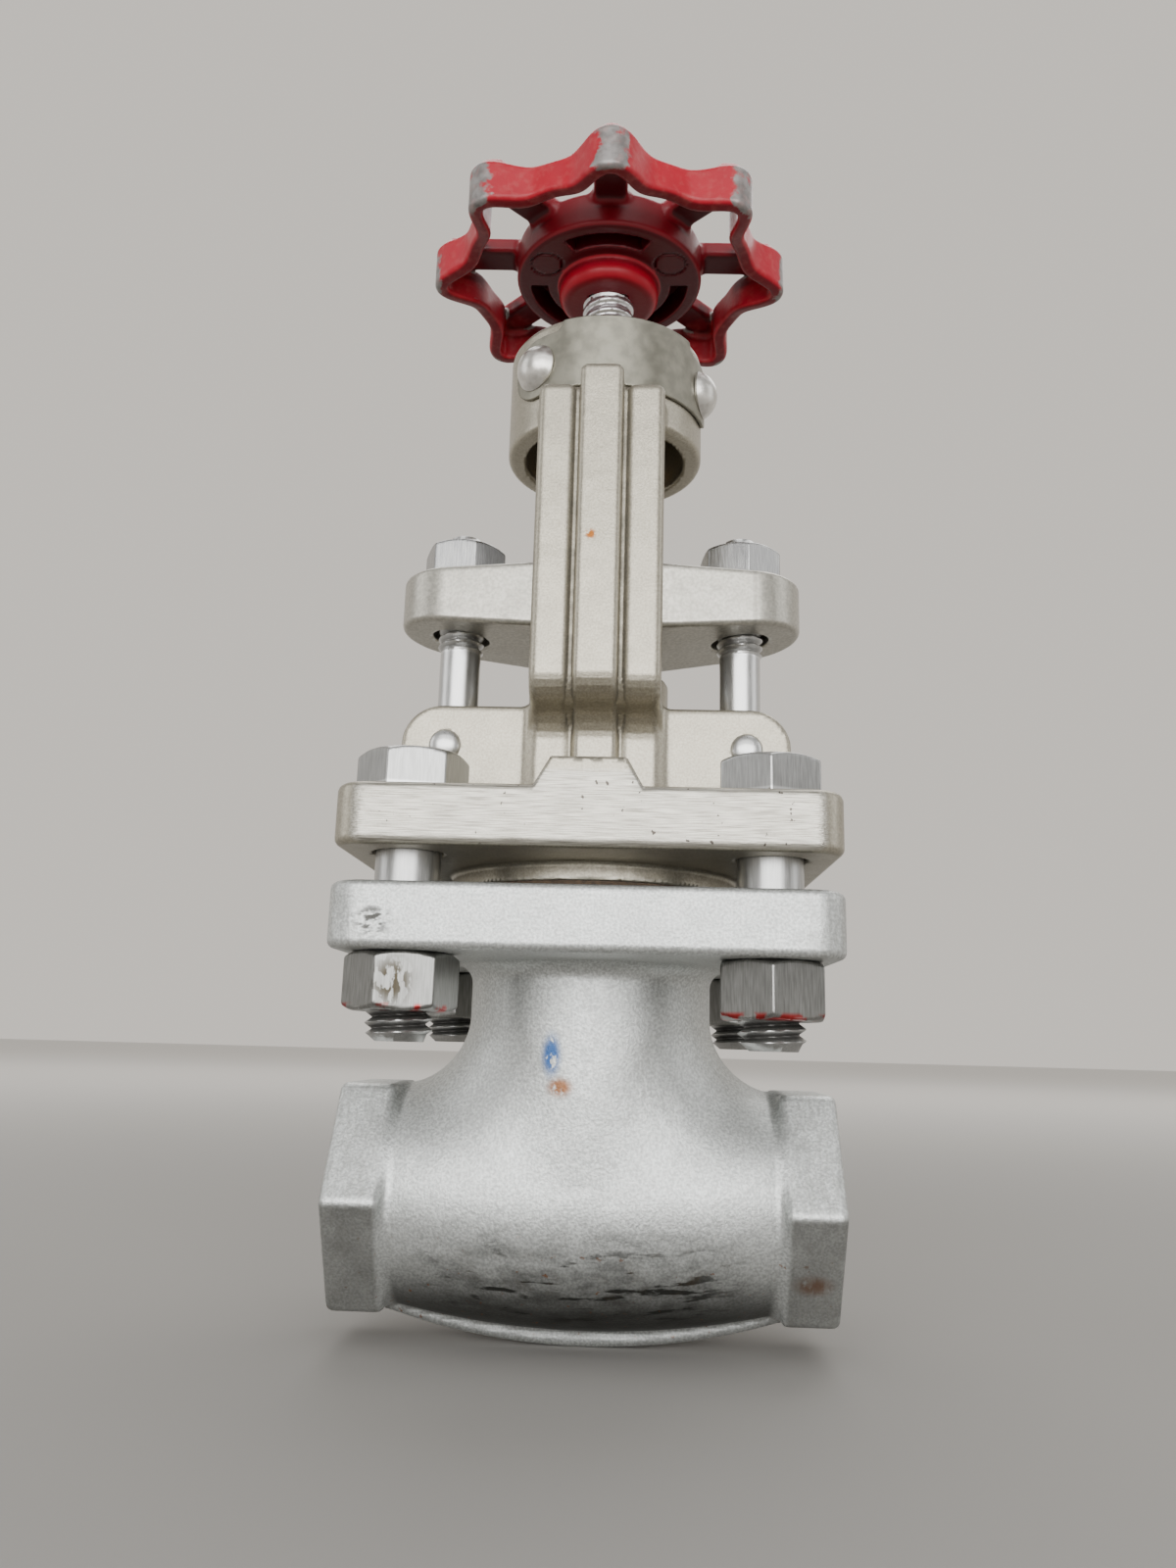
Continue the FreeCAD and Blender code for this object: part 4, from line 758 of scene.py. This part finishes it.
def arm_outline(front, top):
    """Side view of a yoke arm, as distance from the middle plane and height."""
    foot, face = ARM_FOOT + front, ARM_FRONT + front
    return rounded([
        (foot, 50, 0), (foot, BEND_LOW, BEND_RADIUS), (face, BEND_HIGH, BEND_RADIUS), (face, top, 1.3),
        (12.5, top, 0), (12.5, HUB_LOW + 1, 0), (ARM_INNER, HUB_LOW - 3, 3), (ARM_INNER, 85.9, 6),
        (9.5, 77, 6), (9.5, 50, 0)])


ARM_SIDE = arm_outline(-0.8, RIDGE_TOP)
RIDGE_SIDE = arm_outline(0.0, RIDGE_TOP)
RIB_SIDE = arm_outline(RIB_PROUD, RIB_TOP)


def bonnet_field(x, y, z):
    along, away, across = np.abs(x), np.abs(y), np.hypot(x, y)
    above = BONNET_FLANGE[1] - 2 - z
    plate = flange_field(x, y, z, BONNET_FLANGE)
    tab = (along - TAB_HALF + (z - BONNET_FLANGE[1]) * TAB_SLOPE) * TAB_COSINE
    tab = np.maximum(tab, z - BONNET_FLANGE[1] - TAB_HEIGHT)
    tab = solid(tab, between(y, -FLANGE_HALF, TAB_DEPTH - FLANGE_HALF), 0.7)
    plate = np.minimum(plate, np.maximum(tab, BONNET_FLANGE[1] - 1.5 - z))
    lug = solid(rectangle(x, z - LUG_TOP + 20, LUG_HALF, 20, LUG_CORNER), between(away, *LUG_FACES), 0.8)
    shape = union(plate, np.maximum(lug, above), 2.0)
    stuffing = rod(x, y, z, BOX_RADIUS, BONNET_FLANGE[1] - 4, BOX_TOP, 0.8)
    shape = union(shape, stuffing, 2.0)
    ridges = solid(polygon(away, z, RIDGE_SIDE), between(along, RIB_HALF + GROOVE, ARM_HALF), 1.5)
    core = solid(polygon(away, z, ARM_SIDE), along - ARM_HALF, 1.2)
    rib = solid(polygon(away, z, RIB_SIDE), along - RIB_HALF, 1.2)
    hub = rod(x, y, z, HUB_RADIUS, HUB_LOW, HUB_TOP, 1.0)
    shape = union(shape, np.maximum(any_of(ridges, core, rib), above), 2.0)
    shape = union(shape, hub, 1.0)
    spigot = rod(x, y, z, FACE_RADIUS, bonnet_low[2], BONNET_FLANGE[0] + 2, 0.3)
    shape = union(shape, spigot, 0.8)
    bolts = np.hypot(along - BOLT_PLACE, away - BOLT_PLACE) - BOLT_HOLE
    shape = cut(shape, np.maximum(bolts, z - 65), 0.3)
    pins = np.maximum(np.hypot(along - PIN_X, z - PIN_Z) - PIN_HOLE, away - 14)
    inner = np.maximum(across - BOX_BORE, between(z, BOX_FLOOR, BOX_TOP + 4))
    seat = np.maximum(across - BACKSEAT_HOLE, z - BOX_FLOOR - 1)
    recess = np.maximum(across - RECESS_RADIUS, z - RECESS_TOP)
    under = np.maximum(across - HUB_HOLLOW, between(z, HUB_LOW - 4, HUB_ROOF))
    bushing = np.maximum(across - BUSHING_HOLE, HUB_ROOF - 1 - z)
    return cut(shape, any_of(pins, inner, seat, recess, under, bushing), 0.4)


# The grid is finer along X across the ribs of the yoke arms.
bonnet_lines = box_lines((bonnet_low, bonnet_high), 0.55)
bonnet_lines[0] = grid_lines(bonnet_low[0], bonnet_high[0], 0.65, (-11.2, 11.2, 0.28))
piece("bonnet_casting", field_shape(bonnet_field, bonnet_lines), ["bonnet"], "bonnet_casting")

# -------- bolting


def hexagon_shape(flats, height, both_ends, hole=0.0, cell=0.3):
    """A nut or bolt head standing on z = 0, its corners turned off by a 30 degree cone."""
    crown = flats * 0.48
    steep, square = math.sqrt(0.75), math.sqrt(0.5)

    def field(x, y, z):
        away = np.hypot(x, y)
        shape = solid(hexagon(x, y, flats, 0.25), between(z, 0, height), 0.12)
        shape = both(shape, (away - crown) * 0.5 + (z - height) * steep, 0.3)
        if both_ends:
            shape = both(shape, (away - crown) * 0.5 - z * steep, 0.3)
        if hole:
            flare = away - hole - 0.6
            flares = np.minimum(flare + height - z, flare + z) * square
            shape = cut(shape, np.minimum(away - hole, flares), 0.1)
        return shape

    side = grid_lines(-flats * 0.6, flats * 0.6, cell)
    return field_shape(field, [side, side, grid_lines(0, height, cell)], cell / 2)


BOLT_TURNS = {(-1, -1): 14, (1, -1): 25, (-1, 1): 40, (1, 1): 7}
BOLT_FLATS, HEAD_HEIGHT, NUT_HEIGHT, BOLT_LENGTH = 14.29, 5.9, 8.3, 35.6
BOLT_PITCH, BOLT_DEPTH = 1.5875, 0.95

bolt_end = BONNET_FLANGE[1] - BOLT_LENGTH
shank = turned_shape(
    [(bolt_end, BOLT_RADIUS - 1.1), (bolt_end + 1.1, BOLT_RADIUS), (BODY_FLANGE[0] + 1, BOLT_RADIUS),
     (BODY_FLANGE[0] + 2, BOLT_RADIUS), (BONNET_FLANGE[1] + 1, BOLT_RADIUS)],
    (bolt_end - 0.4, BODY_FLANGE[0] + 1, BOLT_PITCH, BOLT_DEPTH, 0.1))
head = hexagon_shape(BOLT_FLATS, HEAD_HEIGHT, False)
nut = hexagon_shape(BOLT_FLATS, NUT_HEIGHT, True, BOLT_RADIUS)
for number, ((sx, sy), turn) in enumerate(BOLT_TURNS.items(), start=1):
    x, y = BOLT_PLACE * sx, BOLT_PLACE * sy
    for name, shape, height, node, finish in (
            ("bonnet_bolt_head_", head, BONNET_FLANGE[1], "bonnet_bolts", None),
            ("bonnet_bolt_shank_", shank, 0, "bonnet_bolts", None),
            ("bonnet_nut_", nut, BODY_FLANGE[0] - NUT_HEIGHT, "bonnet_nuts", "flange_nut_steel")):
        placed = moved(shape, (x, y, height), turn=turn)
        piece(name + str(number), placed, [node], "bolting_steel", finish=finish)

# -------- gland

gland_low, gland_high = node_box("gland_flange")
GLAND_TOP, GLAND_KEEL, GLAND_EDGE_Z = gland_high[2], gland_low[2], 93.0
GLAND_MID, GLAND_END, GLAND_BOLT, GLAND_LEVEL = 14.0, 10.3, 24.4, 10.2
GLAND_HOLE, GLAND_BORE, FOLLOWER_RADIUS, FOLLOWER_TOP = 4.9, 5.4, 9.6, 92.0


def gland_field(x, y, z):
    along, away, across = np.abs(x), np.abs(y), np.hypot(x, y)
    from_bolt = np.hypot(along - GLAND_BOLT, y)
    lean = (GLAND_MID - GLAND_END) / GLAND_BOLT
    level = math.sqrt(1 - lean * lean)
    along_side = along * level - away * lean
    plan = np.where(along_side < 0, across - GLAND_MID, away * level + along * lean - GLAND_MID)
    plan = np.where(along_side > level * GLAND_BOLT * level, from_bolt - GLAND_END, plan)
    slope = (GLAND_EDGE_Z - GLAND_KEEL) / (gland_high[0] - GLAND_LEVEL)
    under = np.maximum(GLAND_KEEL - z, (GLAND_KEEL + slope * (along - GLAND_LEVEL) - z) * 0.99)
    shape = solid(plan, np.maximum(z - GLAND_TOP, under), 0.9)
    seat = np.maximum(across - FOLLOWER_RADIUS, z - FOLLOWER_TOP)
    return cut(shape, any_of(from_bolt - GLAND_HOLE, across - GLAND_BORE, seat), 0.4)


gland_shape = field_shape(gland_field, box_lines((gland_low, gland_high), 0.45))
piece("gland_flange_casting", gland_shape, ["gland_flange"], "gland_casting", "gland")

GLAND_NUT_HEIGHT, EYE_THREAD, EYE_PITCH = 6.75, 3.97, 1.4111
gland_nut = hexagon_shape(12.7, GLAND_NUT_HEIGHT, False, EYE_THREAD + 0.05, 0.26)
for side, sign, turn in (("left", -1, 52), ("right", 1, 38)):
    piece("gland_nut_" + side + "_hexagon", moved(gland_nut, (GLAND_BOLT * sign, 0, GLAND_TOP), turn=turn),
          ["gland_nut_" + side], "gland_nut_steel", side + "_gland_nut")


EYE_RADIUS, EYE_HALF, EYE_HOLE, SHANK_RADIUS, SHANK_TOP = 6.6, 4.2, 2.45, 3.5, 89.5


def eye_field(x, y, z):
    height = z - PIN_Z
    eye = rod(x, height, y, EYE_RADIUS, -EYE_HALF, EYE_HALF, 0.8)
    shank = np.maximum(np.hypot(x, y) - SHANK_RADIUS, np.maximum(-height, z - SHANK_TOP))
    return cut(union(eye, shank, 2.5), np.hypot(x, height) - EYE_HOLE, 0.4)


eye_box = (-EYE_RADIUS, -EYE_HALF, PIN_Z - EYE_RADIUS), (EYE_RADIUS, EYE_HALF, SHANK_TOP)
eye = field_shape(eye_field, box_lines(eye_box, 0.35))
eye_top = node_box("eyebolt_left")[1][2]
threaded = turned_shape(
    [(89.0, 3.4), (89.6, EYE_THREAD - 0.1), (90.0, EYE_THREAD), (eye_top - 0.8, EYE_THREAD),
     (eye_top, EYE_THREAD - 0.9)], (89.0, eye_top + 0.6, EYE_PITCH, 0.8, 0.1), 60)
pin_profile = [(-12.8, 0.6), (-12.65, 1.4), (-12.3, 2.1), (-11.9, 2.5), (-11.4, 2.65), (-11.4, 2.2)]
pin = turned_shape(pin_profile + [(-height, radius) for height, radius in reversed(pin_profile)])
for side, sign in (("left", -1), ("right", 1)):
    at = (GLAND_BOLT * sign, 0, 0)
    piece("eyebolt_" + side + "_eye", moved(eye, at), ["eyebolt_" + side], "eyebolt_steel")
    piece("eyebolt_" + side + "_thread", moved(threaded, at), ["eyebolt_" + side], "eyebolt_steel")
    piece("eyebolt_pin_" + side + "_domed", moved(pin, (at[0], 0, PIN_Z), "X", 90),
          ["eyebolt_pin_" + side], "eyebolt_steel")

# -------- stem

wheel_low, wheel_high = node_box("handwheel")
washer_low, washer_high = node_box("wheel_washer")
nut_low, nut_high = node_box("wheel_nut")
stem_low, stem_high = node_box("stem")
STEM_RADIUS, STEM_PITCH, SQUARE_HALF, SQUARE_TOP, STUD_RADIUS = 4.76, 2.1167, 3.35, 169.6, 3.17
THREAD_FROM = 106.0
HUB_BOTTOM = wheel_low[2]
stem_shape = turned_shape(
    [(stem_low[2], 4.0), (stem_low[2] + 0.4, 4.4), (16.0, 4.4), (16.0, 2.9), (20.0, 2.9),
     (20.0, STEM_RADIUS), (30.5, STEM_RADIUS), (30.5, 6.7), (30.8, 7.0), (32.4, 7.0),
     (34.7, STEM_RADIUS), (THREAD_FROM - 4, STEM_RADIUS), (HUB_BOTTOM - 0.6, STEM_RADIUS),
     (HUB_BOTTOM, STEM_RADIUS), (HUB_BOTTOM, STEM_RADIUS - 0.4)],
    (THREAD_FROM, HUB_BOTTOM + 0.6, STEM_PITCH, 0.5, 0.3))


SQUARE_FROM = HUB_BOTTOM - 1.5


def square_field(x, y, z):
    return solid(rectangle(x, y, SQUARE_HALF, SQUARE_HALF, 0.5), between(z, SQUARE_FROM, SQUARE_TOP), 0.3)


square_box = (-SQUARE_HALF, -SQUARE_HALF, SQUARE_FROM), (SQUARE_HALF, SQUARE_HALF, SQUARE_TOP)
square = field_shape(square_field, box_lines(square_box, 0.4))
stud = turned_shape(
    [(SQUARE_TOP - 0.3, STUD_RADIUS), (stem_high[2] - 0.7, STUD_RADIUS), (stem_high[2], STUD_RADIUS - 0.7)],
    (SQUARE_TOP - 0.3, stem_high[2] + 0.5, 1.27, 0.7, 0.1), 60)
for name, shape in (("stem_screw", stem_shape), ("stem_square_end", square), ("stem_stud", stud)):
    piece(name, shape, ["stem"], "stem_steel", "stem_and_wheel")

# -------- handwheel

RIM_RADIUS, RIM_WAVE, RIM_THICK, RIM_HEIGHTS = 27.2, 5.6, 2.6, (162.7, 168.6)
LOBES, LOBE_TURN, LOBE_POWER, LOBE_DROP, LOBE_RISE = 8, 1.5, 2.3, 1.4, 0.7
SPOKE_HEIGHTS, SPOKE_HALF, SPOKE_START = (167.6, 170.9), 3.0, 16
DISC_RADIUS, DISC_HEIGHTS, WHEEL_HUB, WHEEL_HUB_EDGE = 17.3, (162.6, 169.6), 9.3, 2.1
SLOT_RADII, SLOT_HALF_ANGLE, SLOT_DEPTH = (11.6, 14.7), math.radians(31), 4.8
THIRD_TURN = 2 * math.pi / 3
RING_PLACE, RING_RADIUS, RING_HALF, RING_DEPTH, SQUARE_PLAY = 13.0, 2.9, 0.22, 0.3, 0.12


def wheel_field(x, y, z):
    away = np.hypot(x, y)
    angle = np.arctan2(x, -y)
    lobe = (angle - math.radians(LOBE_TURN)) * LOBES
    share = (1 + np.cos(lobe)) / 2
    reach = RIM_RADIUS + RIM_WAVE * share ** LOBE_POWER
    lean = RIM_WAVE * LOBE_POWER * share ** (LOBE_POWER - 1) * np.sin(lobe) * LOBES / 2
    lean = lean / np.maximum(away, 20)
    band = (away - reach + RIM_THICK / 2) / np.sqrt(1 + lean * lean)
    tall = between(z, RIM_HEIGHTS[0] - LOBE_DROP * share, RIM_HEIGHTS[1] + LOBE_RISE * share)
    rim = solid(np.abs(band) - RIM_THICK / 2, tall, 0.9)
    turn = (lobe + math.pi) % (2 * math.pi) - math.pi
    out, side = away * np.cos(turn / LOBES), away * np.sin(turn / LOBES)
    spoke = np.maximum(np.maximum(np.abs(side) - SPOKE_HALF, SPOKE_START - out), band)
    spoke = solid(spoke, between(z, *SPOKE_HEIGHTS), 1.0)
    disc = rod(x, y, z, DISC_RADIUS, *DISC_HEIGHTS, 1.1)
    third = (angle + THIRD_TURN / 2) % THIRD_TURN - THIRD_TURN / 2
    slot = np.maximum((np.abs(third) - SLOT_HALF_ANGLE) * away, between(away, *SLOT_RADII))
    slot = np.maximum(slot, z - DISC_HEIGHTS[0] - SLOT_DEPTH)
    ring_angle = angle % THIRD_TURN - THIRD_TURN / 2
    ring = np.hypot(away * np.cos(ring_angle) - RING_PLACE, away * np.sin(ring_angle)) - RING_RADIUS
    ring = np.maximum(np.abs(ring) - RING_HALF, np.abs(z - DISC_HEIGHTS[0]) - RING_DEPTH)
    disc = cut(cut(disc, slot, 0.4), ring, 0.12)
    hub = rod(x, y, z, WHEEL_HUB, wheel_low[2], wheel_high[2] - 0.9, WHEEL_HUB_EDGE)
    shape = union(union(rim, spoke, 1.5), union(hub, disc, 0.8), 1.5)
    return cut(shape, rectangle(x, y, SQUARE_HALF + SQUARE_PLAY, SQUARE_HALF + SQUARE_PLAY, 0.4), 0.1)


wheel_shape = field_shape(wheel_field, box_lines((wheel_low, wheel_high), 0.42))
piece("handwheel_casting", wheel_shape, ["handwheel"], "wheel_paint", "stem_and_wheel")

wheel_nut = hexagon_shape(11.1, nut_high[2] - nut_low[2], False, STUD_RADIUS, 0.26)
piece("wheel_nut_hexagon", moved(wheel_nut, (0, 0, nut_low[2]), turn=10), ["wheel_nut"], "gland_nut_steel",
      "stem_and_wheel")


def washer_field(x, y, z):
    flat = between(np.hypot(x, y), STUD_RADIUS + 0.2, washer_high[0])
    return solid(flat, between(z, washer_low[2], washer_high[2]), 0.3)


washer = field_shape(washer_field, box_lines((washer_low, washer_high), 0.3))
piece("wheel_washer_ring", washer, ["wheel_washer"], "bolting_steel", "stem_and_wheel")

# -------- nameplate

PLATE_THICK, PLATE_HEIGHTS, RIVET_Z, EAR_RADIUS = 0.6, (133.2, 144.4), 136.9, 5.6
LEFT_RIVET, RIGHT_RIVET, PLATE_INSET = -41.0, 73.0, 17.0
RIVET_RADIUS, RIVET_DOME = 4.1, 2.8


def plate_field(x, y, z):
    middle = math.radians((LEFT_RIVET + RIGHT_RIVET) / 2)
    along = (np.arctan2(x, -y) - middle) * HUB_RADIUS
    half = math.radians((RIGHT_RIVET - LEFT_RIVET) / 2) * HUB_RADIUS
    inset = math.radians(PLATE_INSET) * HUB_RADIUS
    panel = rectangle(along, z - sum(PLATE_HEIGHTS) / 2, half - inset,
                      (PLATE_HEIGHTS[1] - PLATE_HEIGHTS[0]) / 2, 0.6)
    ears = np.hypot(np.maximum(np.abs(along) - half, 0), z - RIVET_Z) - EAR_RADIUS
    flat = union(panel, np.maximum(ears, np.abs(along) - half - EAR_RADIUS), 1.5)
    return solid(flat, between(np.hypot(x, y), HUB_RADIUS + 0.02, HUB_RADIUS + PLATE_THICK), 0.18)


plate_shape = field_shape(plate_field, box_lines(node_box("nameplate"), 0.27), 0.1)
piece("nameplate_curved", plate_shape, ["nameplate"], "nameplate_metal")

ball = (RIVET_RADIUS ** 2 + RIVET_DOME ** 2) / (2 * RIVET_DOME)
arcs = np.linspace(math.asin(RIVET_RADIUS / ball), 0.05, 9)
rivet_profile = [(-3.4, 1.5), (-0.3, 1.5), (-0.3, RIVET_RADIUS - 0.15), (0.1, RIVET_RADIUS)]
rivet_profile += [(RIVET_DOME - ball + ball * math.cos(a), ball * math.sin(a)) for a in arcs[1:]]
rivet = turned_shape(rivet_profile)
for side, angle in (("left", LEFT_RIVET), ("right", RIGHT_RIVET)):
    outward = HUB_RADIUS + PLATE_THICK
    at = (math.sin(math.radians(angle)) * outward, -math.cos(math.radians(angle)) * outward, RIVET_Z)
    lying = moved(rivet, axis="X", turn=90)
    piece("nameplate_rivet_" + side, moved(lying, at, turn=angle), ["nameplate_rivets"], "rivet_metal")

# The packing, as rings stacked in the stuffing box.
packing_low, packing_high = node_box("packing_rings")
PACKING_COUNT, PACKING_GAP, PACKING_KEEP = 4, 0.06, 0.78
packing_step = (packing_high[2] - packing_low[2] + PACKING_GAP) / PACKING_COUNT
rings = [ring_shape((STEM_RADIUS + 0.1,) * 2, packing_high[0], low, low + packing_step - PACKING_GAP,
                    (packing_step, 0.0, 0.1))
         for low in packing_low[2] + packing_step * np.arange(PACKING_COUNT)]
packing = piece("packing_rings_soft", joined(*rings), ["packing_rings"], "packing")
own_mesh(packing)

for part in frame["record"]["subparts"]:
    for slot in frame["nodes"][part["node"]].material_slots:
        slot.material = MATERIALS[part["material_slot"]]

# -------- floor, light and camera

FLOOR_HALF = 4.0
floor_look = Finish("floor", 0.0, Specular_IOR_Level=0.1)
# painted shadow: the floor is dark near the valve and pales with distance from it
distance = floor_look.step(floor_look.from_stem(), 60.0, 1500.0)
floor_with_painted_shadow = floor_look.mix(distance, (0.27, 0.26, 0.245), (0.89, 0.858, 0.81))
mesh = bpy.data.meshes.new("floor")
corners = [(FLOOR_HALF * x, FLOOR_HALF * y, KEEL_BOTTOM * MM)
           for x, y in ((-1, -1), (1, -1), (1, 1), (-1, 1))]
mesh.from_pydata(corners, [], [(0, 1, 2, 3)])
mesh.materials.append(floor_look.done(floor_with_painted_shadow, 0.9))
item = added("floor", mesh)

world = bpy.data.worlds.new("studio")
world.use_nodes = True
sky = Nodes(world.node_tree)
direction = sky.node("ShaderNodeSeparateXYZ", {0: sky.node("ShaderNodeTexCoord").outputs["Generated"]})
behind = sky.step(direction.outputs["Y"], 0.05, 0.6)
sky_colour = sky.mix(behind, (0.50, 0.495, 0.485), (0.78, 0.735, 0.675))
sky.feed(sky.tree.nodes["Background"].inputs["Color"], sky_colour)
bpy.context.scene.world = world

MIDDLE = Vector((0, 0, 0.08))


def softbox(name, place, size, power):
    """A rectangular light at a place in metres, facing the middle of the valve."""
    light = bpy.data.lights.new(name, "AREA")
    light.shape = "RECTANGLE"
    light.size, light.size_y = size
    light.energy = power
    item = added(name, light)
    item.location = place
    item.rotation_euler = (MIDDLE - Vector(place)).to_track_quat("-Z", "Y").to_euler()


softbox("key", (0.0, -0.9, 0.26), (1.3, 0.55), 12)
softbox("upper", (0.0, -0.75, 0.80), (1.2, 0.3), 2.0)
softbox("fill_left", (-0.9, -0.15, 0.4), (0.4, 0.7), 1.6)
softbox("fill_right", (0.9, -0.1, 0.4), (0.4, 0.7), 1.3)
softbox("top", (0.1, 0.5, 1.1), (1.2, 1.0), 10)

# The camera fitted to the photo: its place in metres and its angles in radians.
CAMERA_PLACE = Vector((0.00621, -0.19203, 0.02358))
CAMERA_YAW, CAMERA_PITCH, CAMERA_ROLL = -0.0397, 0.2197, 0.0272
level = math.cos(CAMERA_PITCH)
forward = Vector((math.sin(CAMERA_YAW) * level, math.cos(CAMERA_YAW) * level, math.sin(CAMERA_PITCH)))
right = Matrix.Rotation(-CAMERA_ROLL, 3, forward) @ forward.cross(Vector((0, 0, 1))).normalized()
up = right.cross(forward)
lens = bpy.data.cameras.new("camera")
lens.lens, lens.sensor_width = 26.49, 36
lens.clip_start, lens.clip_end = 0.005, 20
camera = added("camera", lens)
camera.matrix_world = Matrix.Translation(CAMERA_PLACE) @ Matrix((right, up, -forward)).transposed().to_4x4()
bpy.context.scene.camera = camera
